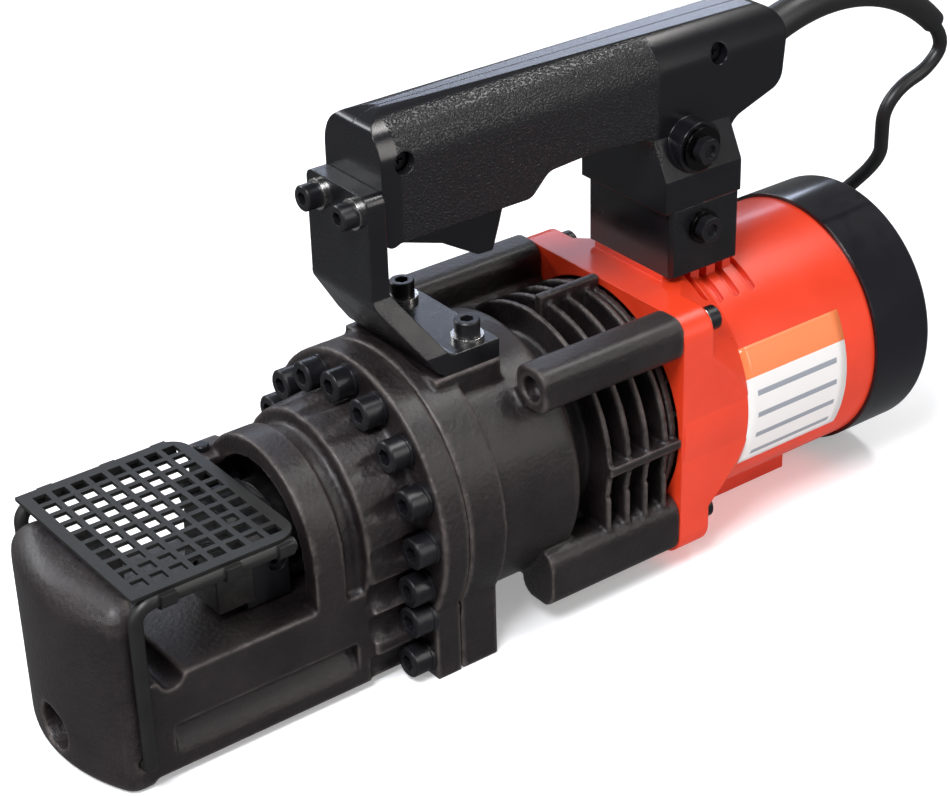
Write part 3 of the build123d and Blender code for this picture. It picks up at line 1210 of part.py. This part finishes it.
with BuildPart() as cord_boot:
    with BuildLine() as boot_line:
        boot_arc = ThreePointArc((x_handle_end - 5.0, 0.0, cord_hole_z - 2.5),
                                 (x_handle_end + 74.0, 0.0, cord_hole_z + 8.0), boot_end)
    with BuildSketch(Plane(origin=boot_arc @ 0, z_dir=boot_arc % 0)) as boot_root:
        Circle(boot_radius)
    with BuildSketch(Plane(origin=boot_arc @ 1, z_dir=boot_arc % 1)) as boot_tip:
        Circle(boot_tip_radius)
    sweep(sections=[boot_root.sketch.face(), boot_tip.sketch.face()], path=boot_line.line, multisection=True)
    block((x_handle_end - 20, x_handle_end), (-20.0, 20.0), (handle_top - 60, handle_top), mode=Mode.SUBTRACT)

sub_parts = {
    "head_frame": head_frame, "fixed_cutter": fixed_cutter, "fixed_cutter_screw": fixed_cutter_screw,
    "moving_cutter": moving_cutter, "moving_cutter_screws": moving_cutter_screws,
    "cutter_holder": cutter_holder, "piston": piston,
    "piston_seal": piston_seal, "rod_wiper": rod_wiper, "return_spring": return_spring,
    "cylinder_liner": cylinder_liner, "stopper_screw": stopper_screw,
    "stopper_lock_screw": stopper_lock_screw, "guard_wires": guard_wires, "guard_plate": guard_plate,
    "guard_clips": guard_clips, "flange_bolts": flange_bolts, "flange_washers": flange_washers,
    "pump_casing": pump_casing, "release_valve": release_valve, "oil_plug": oil_plug,
    "oil_bladder": oil_bladder, "pump_block": pump_block, "pump_plunger": pump_plunger,
    "eccentric_shaft": eccentric_shaft, "eccentric_bearing": eccentric_bearing,
    "drive_gear": drive_gear, "bearing_plate": bearing_plate, "ball_bearings": ball_bearings,
    "armature_shaft": armature_shaft, "armature_core": armature_core, "commutator": commutator,
    "cooling_fan": cooling_fan, "stator": stator, "field_coils": field_coils, "brushes": brushes,
    "brush_holders": brush_holders, "brush_carrier": brush_carrier,
    "motor_housing": motor_housing, "housing_bolts": housing_bolts, "housing_washers": housing_washers,
    "end_cap": end_cap, "end_cap_screws": end_cap_screws, "handle_bracket": handle_bracket,
    "bracket_screws": bracket_screws, "handle_washers": handle_washers, "mount_block": mount_block,
    "mount_bolts": mount_bolts, "handle_left": handle_left,
    "handle_right": handle_right, "handle_screws": handle_screws, "trigger": trigger,
    "trigger_pin": trigger_pin, "trigger_spring": trigger_spring, "switch_body": switch_body,
    "cord_boot": cord_boot, "cord": cord, "cord_coil": cord_coil, "cord_tie": cord_tie, "plug": plug,
}
for label, sub_part in sub_parts.items():
    sub_part.part.label = label
    export_step(sub_part.part, f"parts/{label}.step")
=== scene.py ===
"""The portable bar cutter: its finishes, its cord and its label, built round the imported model, in metres."""
import json
import math

import bmesh
import bpy
from mathutils import Matrix, Vector


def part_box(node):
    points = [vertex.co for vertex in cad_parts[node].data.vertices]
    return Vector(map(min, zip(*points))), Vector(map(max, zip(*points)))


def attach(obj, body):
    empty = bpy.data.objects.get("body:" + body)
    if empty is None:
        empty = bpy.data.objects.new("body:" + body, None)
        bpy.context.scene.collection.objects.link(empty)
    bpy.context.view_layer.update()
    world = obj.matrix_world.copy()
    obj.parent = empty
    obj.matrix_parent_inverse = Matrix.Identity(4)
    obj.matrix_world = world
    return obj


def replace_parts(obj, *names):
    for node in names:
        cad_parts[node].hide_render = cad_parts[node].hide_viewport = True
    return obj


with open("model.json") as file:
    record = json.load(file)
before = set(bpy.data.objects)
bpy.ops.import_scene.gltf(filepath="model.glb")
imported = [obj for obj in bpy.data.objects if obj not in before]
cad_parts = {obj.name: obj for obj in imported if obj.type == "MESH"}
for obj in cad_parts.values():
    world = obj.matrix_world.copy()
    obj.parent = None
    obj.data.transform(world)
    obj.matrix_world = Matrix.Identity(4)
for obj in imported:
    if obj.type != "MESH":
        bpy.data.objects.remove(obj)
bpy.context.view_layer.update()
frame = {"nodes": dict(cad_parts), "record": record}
MM = 0.001
CORD_DIAMETER = 8 * MM


# ---------------------------------------------------------------- shader tools
def node(tree, kind, inputs=None, **settings):
    """Adds a shader node. A socket among the inputs is linked, and anything else is set."""
    made = tree.nodes.new(kind)
    for key, value in settings.items():
        setattr(made, key, value)
    for key, value in (inputs or {}).items():
        if isinstance(value, bpy.types.NodeSocket):
            tree.links.new(value, made.inputs[key])
        else:
            made.inputs[key].default_value = value
    return made


def maths(tree, operation, first, second=0.0):
    """One Math node's answer, clamped to 0 and 1."""
    made = node(tree, "ShaderNodeMath", {0: first, 1: second}, operation=operation, use_clamp=True)
    return made.outputs[0]


def both(tree, first, *others):
    """The product of two or more masks."""
    for other in others:
        first = maths(tree, "MULTIPLY", first, other)
    return first


def join(tree, value, socket):
    tree.links.new(value, socket)


def spread(tree, value, low, high):
    """The value stretched, so that low becomes 0 and high becomes 1."""
    made = node(tree, "ShaderNodeMapRange", {"Value": value, "From Min": low, "From Max": high})
    return made.outputs["Result"]


def place(tree):
    return node(tree, "ShaderNodeTexCoord").outputs["Object"]


def noise(tree, scale, detail=3.0, rough=0.55, vector=None):
    """Noise on Object coordinates. The scale is in features per metre."""
    made = node(tree, "ShaderNodeTexNoise", {"Vector": vector or place(tree), "Scale": scale,
                                             "Detail": detail, "Roughness": rough})
    return made.outputs["Fac"]


def group(name, inputs, outputs):
    """An empty node group with the named value inputs, as {name: default}, and the named outputs."""
    tree = bpy.data.node_groups.new(name, "ShaderNodeTree")
    for label, value in inputs.items():
        tree.interface.new_socket(label, in_out="INPUT", socket_type="NodeSocketFloat").default_value = value
    for label in outputs:
        tree.interface.new_socket(label, in_out="OUTPUT", socket_type="NodeSocketFloat")
    return tree, tree.nodes.new("NodeGroupInput").outputs, tree.nodes.new("NodeGroupOutput").inputs


def sand_cast_group():
    """The skin of a sand casting under paint: grains, shallow pits and slow waves."""
    tree, given, out = group("sand cast skin", {"Grain": 900.0}, ["Height", "Tone"])
    grain = noise(tree, given["Grain"], 5.0, 0.62)
    wave = noise(tree, 90.0, 2.0)
    pits = node(tree, "ShaderNodeTexVoronoi", {"Vector": place(tree), "Scale": 420.0}, feature="SMOOTH_F1")
    rough = node(tree, "ShaderNodeMath", {0: grain, 1: pits.outputs["Distance"]}, operation="ADD")
    skin = node(tree, "ShaderNodeMath", {0: rough.outputs[0], 1: wave}, operation="ADD")
    join(tree, skin.outputs[0], out["Height"])
    join(tree, spread(tree, noise(tree, 35.0, 4.0), 0.35, 0.7), out["Tone"])
    return tree


def worn_edge_group():
    """A mask that is 1 where a sharp outer edge has rubbed, broken up along its length."""
    tree, given, out = group("worn edges", {"Width": 0.001, "Amount": 1.0}, ["Mask"])
    soft = node(tree, "ShaderNodeBevel", {"Radius": given["Width"]}, samples=4)
    true = node(tree, "ShaderNodeNewGeometry")
    along = node(tree, "ShaderNodeVectorMath", {0: soft.outputs["Normal"], 1: true.outputs["Normal"]},
                 operation="DOT_PRODUCT")
    edge = spread(tree, along.outputs["Value"], 0.985, 0.86)
    broken = spread(tree, noise(tree, 160.0, 5.0, 0.7), 0.4, 0.62)
    join(tree, both(tree, edge, broken, given["Amount"]), out["Mask"])
    return tree


def rubbed_casting_group():
    """A mask that is 1 on the outer corners of a casting, read from its own fine mesh."""
    tree, given, out = group("rubbed casting", {"Amount": 1.0}, ["Mask"])
    shape = node(tree, "ShaderNodeNewGeometry")
    edge = spread(tree, shape.outputs["Pointiness"], 0.505, 0.56)
    broken = spread(tree, noise(tree, 120.0, 6.0, 0.7), 0.32, 0.6)
    join(tree, both(tree, edge, broken, given["Amount"]), out["Mask"])
    return tree


def dust_group():
    """A mask of the thin dust that lies on what faces up."""
    tree, given, out = group("settled dust", {"Amount": 0.2}, ["Mask"])
    facing = node(tree, "ShaderNodeSeparateXYZ", {0: node(tree, "ShaderNodeNewGeometry").outputs["Normal"]})
    up = spread(tree, facing.outputs["Z"], 0.35, 1.0)
    patchy = spread(tree, noise(tree, 60.0, 6.0, 0.65), 0.35, 0.75)
    join(tree, both(tree, up, patchy, given["Amount"]), out["Mask"])
    return tree


def pebble_group():
    """Moulded leather grain: small round pebbles with creases between them."""
    tree, given, out = group("pebble grain", {"Grain": 900.0}, ["Height"])
    bent = node(tree, "ShaderNodeTexNoise", {"Vector": place(tree), "Scale": 500.0, "Detail": 1.0})
    shifted = node(tree, "ShaderNodeVectorMath", {0: bent.outputs["Color"], 1: (0.0007, 0.0007, 0.0007)},
                   operation="MULTIPLY")
    moved = node(tree, "ShaderNodeVectorMath", {0: place(tree), 1: shifted.outputs[0]}, operation="ADD")
    cells = node(tree, "ShaderNodeTexVoronoi", {"Vector": moved.outputs[0], "Scale": given["Grain"]},
                 feature="SMOOTH_F1")
    join(tree, spread(tree, cells.outputs["Distance"], 0.55, 0.15), out["Height"])
    return tree


SAND_CAST = sand_cast_group()
WORN_EDGES = worn_edge_group()
RUBBED_CASTING = rubbed_casting_group()
DUST = dust_group()
PEBBLES = pebble_group()


def use(tree, shared, **values):
    made = node(tree, "ShaderNodeGroup")
    made.node_tree = shared
    for key, value in values.items():
        made.inputs[key].default_value = value
    return made.outputs


def mix(tree, share, first, second):
    """One colour where the share is 0 and the other where it is 1."""
    made = node(tree, "ShaderNodeMix", {0: share}, data_type="RGBA")
    for socket, value in ((made.inputs[6], first), (made.inputs[7], second)):
        if isinstance(value, bpy.types.NodeSocket):
            join(tree, value, socket)
        else:
            socket.default_value = (*value, 1.0)
    return made.outputs[2]


def between(tree, share, first, second):
    made = node(tree, "ShaderNodeMapRange", {"Value": share, "To Min": first, "To Max": second})
    return made.outputs["Result"]


def bump(tree, height, depth, edge=None):
    """A normal with the height as relief of that depth, over edges rounded to that radius, in metres."""
    made = node(tree, "ShaderNodeBump", {"Height": height, "Distance": depth, "Strength": 1.0})
    if edge:
        rounded = node(tree, "ShaderNodeBevel", {"Radius": edge}, samples=6)
        join(tree, rounded.outputs["Normal"], made.inputs["Normal"])
    return made.outputs["Normal"]


def material(name, **settings):
    """A material with one Principled shader, whose plain settings sit on its own sockets."""
    made = bpy.data.materials.new(name)
    made.use_nodes = True
    shader = made.node_tree.nodes["Principled BSDF"]
    for key, value in settings.items():
        shader.inputs[key.replace("_", " ")].default_value = value
    return made, made.node_tree, shader.inputs


# ---------------------------------------------------------------- finishes
def cast_paint():
    """Thin brown-black paint over sand-cast steel, rubbed pale at the corners."""
    made, tree, shader = material("cast paint", Specular_IOR_Level=0.55, Coat_Weight=0.2, Coat_Roughness=0.28)
    skin = use(tree, SAND_CAST, Grain=1500.0)
    dusty = use(tree, DUST, Amount=0.10)["Mask"]
    paint = mix(tree, skin["Tone"], (0.0095, 0.0066, 0.0070), (0.0185, 0.0130, 0.0135))
    rubbed = use(tree, RUBBED_CASTING, Amount=0.75)["Mask"]
    colour = mix(tree, rubbed, mix(tree, dusty, paint, (0.10, 0.09, 0.085)), (0.17, 0.14, 0.13))
    join(tree, colour, shader["Base Color"])
    join(tree, between(tree, skin["Tone"], 0.30, 0.44), shader["Roughness"])
    join(tree, between(tree, rubbed, 0.0, 0.55), shader["Metallic"])
    join(tree, bump(tree, skin["Height"], 0.00036), shader["Normal"])
    return made


def painted_metal(name, colour, worn, roughness, grain, depth, edge=0.0006, wear=0.6, metallic=0.0):
    """A thin smooth coat on machined or sheet metal, with its edges rubbed to the worn colour."""
    made, tree, shader = material(name, Specular_IOR_Level=0.6)
    rubbed = use(tree, WORN_EDGES, Width=edge * 1.6, Amount=wear)["Mask"]
    fine = noise(tree, grain, 3.0)
    slow = spread(tree, noise(tree, 45.0, 4.0), 0.35, 0.7)
    dark = [part * 0.75 for part in colour]
    join(tree, mix(tree, rubbed, mix(tree, slow, dark, colour), worn), shader["Base Color"])
    join(tree, between(tree, slow, roughness - 0.05, roughness + 0.07), shader["Roughness"])
    join(tree, between(tree, rubbed, metallic, 0.8), shader["Metallic"])
    join(tree, bump(tree, fine, depth, edge), shader["Normal"])
    return made


def bare_steel(name, colour, roughness, direction, edge=0.0004):
    """Ground steel. The scratches of the wheel run along the axis that has the low scale."""
    made, tree, shader = material(name, Metallic=1.0, Specular_IOR_Level=0.6)
    stretched = node(tree, "ShaderNodeMapping", {"Vector": place(tree), "Scale": direction})
    lines = noise(tree, 1.0, 3.0, 0.6, stretched.outputs[0])
    stain = spread(tree, noise(tree, 70.0, 5.0, 0.6), 0.4, 0.75)
    join(tree, mix(tree, stain, colour, [part * 0.62 for part in colour]), shader["Base Color"])
    join(tree, between(tree, both(tree, lines, stain), roughness, roughness + 0.3), shader["Roughness"])
    join(tree, bump(tree, lines, 0.00003, edge), shader["Normal"])
    return made


def moulded(name, colour, roughness, relief=0.00001, coat=0.0, speck=0.0, edge=0.0006, dust=0.06):
    """Moulded plastic or rubber: a faint texture from the mould, slow flow marks and a little dust."""
    made, tree, shader = material(name, Specular_IOR_Level=0.5, Coat_Weight=coat, Coat_Roughness=0.08)
    flow = spread(tree, noise(tree, 22.0, 3.0), 0.3, 0.7)
    dusty = use(tree, DUST, Amount=dust)["Mask"]
    deep = [part * (0.86 - speck) for part in colour]
    join(tree, mix(tree, dusty, mix(tree, flow, deep, colour), (0.35, 0.33, 0.31)), shader["Base Color"])
    join(tree, between(tree, flow, roughness - 0.04, roughness + 0.05), shader["Roughness"])
    join(tree, bump(tree, noise(tree, 1500.0, 2.0), relief, edge), shader["Normal"])
    return made


def grip_nylon():
    """The handle's nylon: pebbled on the flanks of the grip, smooth and glossier everywhere else."""
    made, tree, shader = material("grip nylon", Specular_IOR_Level=0.5)
    grip_low, grip_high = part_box("handle_left")
    at = node(tree, "ShaderNodeSeparateXYZ", {0: place(tree)}).outputs
    soft = 1.5 * MM
    limits = ((at["X"], grip_low.x + 11 * MM), (at["Z"], grip_high.z - 62 * MM))
    tops = ((at["X"], grip_low.x + 166 * MM), (at["Z"], grip_high.z - 2 * MM))
    sides = node(tree, "ShaderNodeMath", {0: at["Y"]}, operation="ABSOLUTE").outputs[0]
    inside = spread(tree, sides, 8 * MM, 11 * MM)
    for value, low in limits:
        inside = both(tree, inside, spread(tree, value, low - soft, low + soft))
    for value, high in tops:
        inside = both(tree, inside, spread(tree, value, high + soft, high - soft))
    pebbles = use(tree, PEBBLES, Grain=1050.0)["Height"]
    relief = both(tree, pebbles, inside)
    plain = both(tree, noise(tree, 1400.0, 2.0), 0.06)
    height = node(tree, "ShaderNodeMath", {0: relief, 1: plain}, operation="ADD").outputs[0]
    join(tree, mix(tree, inside, (0.006, 0.006, 0.0075), (0.0085, 0.0085, 0.0100)), shader["Base Color"])
    join(tree, between(tree, inside, 0.22, 0.34), shader["Roughness"])
    join(tree, bump(tree, height, 0.00030, 0.0009), shader["Normal"])
    return made


def woven_copper():
    made, tree, shader = material("enamelled copper", Metallic=1.0, Specular_IOR_Level=0.6)
    strands = node(tree, "ShaderNodeTexWave", {"Vector": place(tree), "Scale": 260.0, "Distortion": 1.5},
                   bands_direction="X")
    crest = strands.outputs["Fac"]
    # Painted shade: the copper is darker in the valleys between strands and lighter on their crests.
    join(tree, mix(tree, crest, (0.30, 0.10, 0.04), (0.72, 0.34, 0.17)), shader["Base Color"])
    join(tree, between(tree, crest, 0.5, 0.28), shader["Roughness"])
    join(tree, bump(tree, crest, 0.0002), shader["Normal"])
    return made


def washer_plate():
    """Bright zinc on the bracket's washers, black on the pair of large ones at the rear mount."""
    made, tree, shader = material("washer plate", Metallic=1.0, Specular_IOR_Level=0.6)
    at = node(tree, "ShaderNodeSeparateXYZ", {0: place(tree)}).outputs
    across = node(tree, "ShaderNodeMath", {0: at["Y"]}, operation="ABSOLUTE").outputs[0]
    rear = spread(tree, at["X"], 0.0, 50 * MM)
    outer = spread(tree, both(tree, across, rear), 28 * MM, 30 * MM)
    rings = noise(tree, 700.0, 3.0)
    join(tree, mix(tree, outer, (0.70, 0.69, 0.66), (0.035, 0.034, 0.034)), shader["Base Color"])
    join(tree, between(tree, rings, 0.18, 0.34), shader["Roughness"])
    join(tree, bump(tree, rings, 0.00002, 0.0003), shader["Normal"])
    return made


FINISHES = {
    "cast_black": cast_paint(),
    "tool_steel": bare_steel("ground tool steel", (0.135, 0.13, 0.127), 0.26, (60.0, 900.0, 900.0)),
    "bright_steel": bare_steel("zinc plate", (0.66, 0.66, 0.64), 0.2, (500.0, 500.0, 500.0)),
    "black_oxide": painted_metal("black oxide", (0.014, 0.014, 0.017), (0.12, 0.115, 0.11), 0.34, 1300.0,
                                 0.00003, edge=0.0005, wear=0.35, metallic=0.35),
    "guard_metal": painted_metal("guard lacquer", (0.010, 0.010, 0.009), (0.06, 0.057, 0.05), 0.48, 900.0,
                                 0.00006, edge=0.0004, wear=0.3),
    "black_plate": painted_metal("powder coat", (0.0065, 0.0065, 0.008), (0.06, 0.058, 0.055), 0.25, 1100.0,
                                 0.00004, edge=0.0010, wear=0.2),
    "grip_plastic": grip_nylon(),
    "red_housing": moulded("red shell", (0.80, 0.048, 0.013), 0.31, relief=0.000012, coat=0.12, edge=0.0010,
                           dust=0.0),
    "cap_plastic": moulded("black cap", (0.006, 0.006, 0.009), 0.16, relief=0.000004, coat=0.3, edge=0.0010,
                           dust=0.03),
    "rubber": moulded("black rubber", (0.012, 0.012, 0.013), 0.42, relief=0.00003, speck=0.1),
    "copper": woven_copper(),
    "brass": bare_steel("brass", (0.72, 0.52, 0.24), 0.3, (300.0, 300.0, 900.0)),
    "carbon": moulded("carbon", (0.02, 0.02, 0.02), 0.5, relief=0.00004),
    "aluminium": bare_steel("turned aluminium", (0.62, 0.62, 0.64), 0.32, (90.0, 600.0, 600.0)),
    "white_nylon": moulded("natural nylon", (0.62, 0.60, 0.55), 0.45),
}
SLOT_OF = {part["node"]: part["material_slot"] for part in frame["record"]["subparts"]}


def dress_frame():
    """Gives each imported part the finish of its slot."""
    for name, part in frame["nodes"].items():
        part.data.materials.clear()
        part.data.materials.append(FINISHES[SLOT_OF[name]])
    washers = frame["nodes"]["handle_washers"].data.materials
    washers.clear()
    washers.append(washer_plate())


# ---------------------------------------------------------------- mesh tools
def body_with(name):
    return next(body for body, members in frame["record"]["behaviour"]["bodies"].items() if name in members)


def add_piece(name, mesh, slot, body, finish=None):
    """Links the mesh as a piece that rides on the body, with the slot's finish or its own."""
    piece = bpy.data.objects.new(name, mesh)
    bpy.context.scene.collection.objects.link(piece)
    if not mesh.materials:
        mesh.materials.append(finish or FINISHES[slot])
    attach(piece, body)
    return piece


def finished(piece):
    """The piece's mesh with its modifiers applied."""
    graph = bpy.context.evaluated_depsgraph_get()
    return bpy.data.meshes.new_from_object(piece.evaluated_get(graph), depsgraph=graph)


def casting(node_name, grain, passes, most):
    """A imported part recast: its corners rounded and its hollows filleted as a sand mould leaves them."""
    shape = bmesh.new()
    shape.from_mesh(frame["nodes"][node_name].data)
    bmesh.ops.remove_doubles(shape, verts=shape.verts[:], dist=2e-6)
    raw = bpy.data.meshes.new("raw")
    shape.to_mesh(raw)
    shape.free()
    blank = bpy.data.objects.new("blank", raw)
    bpy.context.scene.collection.objects.link(blank)
    remesh = blank.modifiers.new("grain", "REMESH")
    remesh.mode = "VOXEL"
    remesh.voxel_size = grain
    fillets = blank.modifiers.new("fillets", "SMOOTH")
    fillets.factor = 0.5
    fillets.iterations = passes
    mesh = finished(blank)
    triangles = 2 * len(mesh.polygons)
    if triangles > most:
        thin = blank.modifiers.new("thin", "DECIMATE")
        thin.ratio = most / triangles
        mesh = finished(blank)
    bpy.data.objects.remove(blank)
    mesh.shade_smooth()
    mesh.name = node_name
    mesh.materials.clear()
    piece = add_piece(node_name + "_casting", mesh, SLOT_OF[node_name], body_with(node_name))
    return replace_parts(piece, node_name)


# ---------------------------------------------------------------- label
def label_finish():
    """Printed vinyl: a pale panel with an orange band over it, and rows of plain grey bars."""
    made, tree, shader = material("printed label", Specular_IOR_Level=0.5, Coat_Weight=0.5,
                                  Coat_Roughness=0.15)
    across = node(tree, "ShaderNodeUVMap", uv_map="UVMap").outputs[0]
    at = node(tree, "ShaderNodeSeparateXYZ", {0: across}).outputs
    band = maths(tree, "GREATER_THAN", at["Y"], 0.76)
    rows = node(tree, "ShaderNodeTexWave", {"Vector": across, "Scale": 1.75}, bands_direction="Y")
    bars = both(tree, maths(tree, "GREATER_THAN", rows.outputs["Fac"], 0.86),
                maths(tree, "GREATER_THAN", at["X"], 0.1), maths(tree, "LESS_THAN", at["X"], 0.9),
                maths(tree, "LESS_THAN", at["Y"], 0.66))
    paper = mix(tree, bars, (0.80, 0.78, 0.76), (0.30, 0.32, 0.36))
    join(tree, mix(tree, band, paper, (0.85, 0.22, 0.07)), shader["Base Color"])
    grain = noise(tree, 900.0, 2.0)
    join(tree, between(tree, grain, 0.3, 0.42), shader["Roughness"])
    join(tree, bump(tree, grain, 0.00001), shader["Normal"])
    return made


def rating_label():
    """A thin sticker that follows the motor's round side."""
    cap_low, cap_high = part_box("end_cap")
    axis_z = (cap_low.z + cap_high.z) / 2
    motor_radius, lift, thickness = 69.5 * MM, 0.15 * MM, 0.2 * MM
    radius = motor_radius + lift
    length, first, last = 71 * MM, math.radians(-27.0), math.radians(31.0)
    from_rear = 92.5 * MM
    x_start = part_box("motor_housing")[1].x - from_rear
    shape = bmesh.new()
    bmesh.ops.create_grid(shape, x_segments=12, y_segments=24, size=0.5)
    layer = shape.loops.layers.uv.new("UVMap")
    for face in shape.faces:
        for corner in face.loops:
            corner[layer].uv = (corner.vert.co.x + 0.5, corner.vert.co.y + 0.5)
    for vert in shape.verts:
        turn = first + (vert.co.y + 0.5) * (last - first)
        x = x_start + (vert.co.x + 0.5) * length
        vert.co = Vector((x, -radius * math.cos(turn), axis_z + radius * math.sin(turn)))
    mesh = bpy.data.meshes.new("label")
    shape.to_mesh(mesh)
    shape.free()
    mesh.shade_smooth()
    piece = add_piece("rating_label", mesh, "cap_plastic", "frame", label_finish())
    thick = piece.modifiers.new("vinyl", "SOLIDIFY")
    thick.thickness = thickness
    thick.offset = 0.0
    return piece


# ---------------------------------------------------------------- cord
def cord_points():
    """The cord's route: down behind the motor, round in the coil, and out to the plug."""
    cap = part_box("handle_left")[1].x
    route = [(cap + x * MM, y * MM, z * MM) for x, y, z in (
        (133.0, 0.0, 227.0), (146.0, 0.0, 214.0), (134.0, 1.0, 199.0), (115.0, 2.0, 194.0),
        (103.0, 3.0, 182.0), (106.0, 6.0, 166.0), (115.0, 14.0, 146.0), (112.0, 36.0, 120.0),
        (98.0, 60.0, 92.0), (79.0, 76.0, 64.0), (58.0, 84.0, 40.0), (47.0, 104.0, 21.0))]
    coil_low, coil_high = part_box("cord_coil")
    centre = (coil_low + coil_high) / 2
    lower = coil_low.z + CORD_DIAMETER / 2
    upper = coil_high.z - CORD_DIAMETER / 2
    outer = coil_high.x - centre.x - CORD_DIAMETER / 2
    # Each ring's radius and height, and the turn at which the cord moves on to it.
    rings = [(0.0, outer - 4 * MM, upper), (0.8, outer - 12 * MM, upper), (1.6, outer - 20 * MM, upper),
             (2.4, outer - 24 * MM, lower), (3.4, outer - 16 * MM, lower), (4.4, outer - 8 * MM, lower),
             (5.4, outer, lower)]
    start, steps = math.radians(-20.0), 20
    turns = 6 + 110.0 / 360.0
    count = round(turns * steps)
    for number in range(count):
        turned = number / steps
        radius, height = rings[0][1:]
        for begins, ring, level in rings[1:]:
            share = min(max((turned - begins) / 0.2, 0.0), 1.0)
            share = share * share * (3 - 2 * share)
            radius += (ring - radius) * share
            height += (level - height) * share
        angle = start + 2 * math.pi * turned
        route.append((centre.x + radius * math.cos(angle), centre.y + radius * math.sin(angle), height))
    lead_y = centre.y + outer
    plug_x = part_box("plug")[1].x
    plug_z = (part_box("plug")[0].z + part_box("plug")[1].z) / 2
    route += [(centre.x, lead_y, lower), (centre.x - 14 * MM, lead_y, lower + 1 * MM),
              (centre.x - 28 * MM, lead_y, plug_z - 1 * MM), (plug_x, lead_y, plug_z)]
    return route


def power_cord():
    """The whole cord as one smooth line, from the boot to the plug."""
    points = cord_points()
    curve = bpy.data.curves.new("power_cord", "CURVE")
    curve.dimensions = "3D"
    line = curve.splines.new("NURBS")
    line.points.add(len(points) - 1)
    for point, spot in zip(line.points, points):
        point.co = (*spot, 1.0)
    line.order_u = 3
    line.use_endpoint_u = True
    line.resolution_u = 6
    curve.bevel_depth = CORD_DIAMETER / 2
    curve.bevel_resolution = 5
    curve.use_fill_caps = True
    curve.materials.append(FINISHES["rubber"])
    piece = bpy.data.objects.new("power_cord", curve)
    bpy.context.scene.collection.objects.link(piece)
    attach(piece, "frame")
    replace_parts(piece, "cord", "cord_coil")
    return piece


# ---------------------------------------------------------------- studio
def camera():
    """Looks down on the tool from the front left, as a buyer would see it on a table."""
    sight = bpy.data.cameras.new("camera")
    sight.lens = 87.62
    sight.sensor_width = 36.0
    sight.clip_start = 0.05
    sight.clip_end = 60.0
    eye = bpy.data.objects.new("camera", sight)
    bpy.context.scene.collection.objects.link(eye)
    yaw, pitch, roll = 0.63365, -0.51658, -0.02811
    ahead = Vector((math.sin(yaw) * math.cos(pitch), math.cos(yaw) * math.cos(pitch), math.sin(pitch)))
    level = Vector((math.cos(yaw), -math.sin(yaw), 0.0))
    over = level.cross(ahead)
    right = math.cos(roll) * level + math.sin(roll) * over
    top = math.cos(roll) * over - math.sin(roll) * level
    turned = Matrix((right, top, -ahead)).transposed().to_4x4()
    eye.matrix_world = Matrix.Translation((-0.6080, -0.8198, 0.6820)) @ turned
    bpy.context.scene.camera = eye


def soft_box(name, spot, target, size, power, colour):
    """A large square lamp at the spot that faces the target."""
    lamp = bpy.data.lights.new(name, "AREA")
    lamp.shape = "RECTANGLE"
    lamp.size, lamp.size_y = size
    lamp.energy = power
    lamp.color = colour
    holder = bpy.data.objects.new(name, lamp)
    bpy.context.scene.collection.objects.link(holder)
    holder.location = spot
    holder.rotation_euler = (Vector(target) - Vector(spot)).to_track_quat("-Z", "Y").to_euler()


def studio():
    """A pale floor that runs on out of sight, and soft lamps round the tool."""
    scene = bpy.context.scene
    scene.view_settings.view_transform = "Standard"
    shape = bmesh.new()
    bmesh.ops.create_grid(shape, x_segments=1, y_segments=1, size=8.0)
    floor_mesh = bpy.data.meshes.new("floor")
    shape.to_mesh(floor_mesh)
    shape.free()
    floor = bpy.data.objects.new("floor", floor_mesh)
    scene.collection.objects.link(floor)
    made, tree, shader = material("pale floor", Specular_IOR_Level=0.2, Emission_Strength=0.3)
    slow = noise(tree, 3.0, 2.0)
    join(tree, mix(tree, slow, (0.90, 0.90, 0.91), (0.93, 0.93, 0.93)), shader["Base Color"])
    join(tree, between(tree, slow, 0.7, 0.8), shader["Roughness"])
    floor_mesh.materials.append(made)
    floor.visible_glossy = False
    world = bpy.data.worlds.new("studio")
    scene.world = world
    world.use_nodes = True
    sky = world.node_tree.nodes["Background"].inputs
    sky["Color"].default_value = (0.95, 0.97, 1.0, 1.0)
    sky["Strength"].default_value = 0.17
    middle = (0.0, 0.0, 0.1)
    soft_box("key", (-0.9, -0.5, 1.5), middle, (0.7, 0.6), 31.0, (0.95, 0.96, 1.0))
    soft_box("side", (0.9, -1.5, 0.9), middle, (0.25, 1.2), 7.0, (1.0, 0.96, 0.92))
    soft_box("back", (-0.5, 1.5, 1.0), middle, (1.2, 0.3), 13.0, (0.95, 0.97, 1.0))
    soft_box("top", (0.9, -0.2, 1.6), middle, (0.7, 0.25), 11.0, (1.0, 0.98, 0.96))
    soft_box("sheen", (0.9, 1.4, 0.8), middle, (1.0, 0.2), 4.0, (0.72, 0.80, 1.0))
    soft_box("nose", (-1.7, 0.1, 0.5), middle, (0.4, 0.4), 3.0, (1.0, 0.97, 0.95))


camera()
studio()
dress_frame()
power_cord()
casting("head_frame", 1.25 * MM, 4, 190000)
casting("pump_casing", 1.15 * MM, 3, 190000)
rating_label()
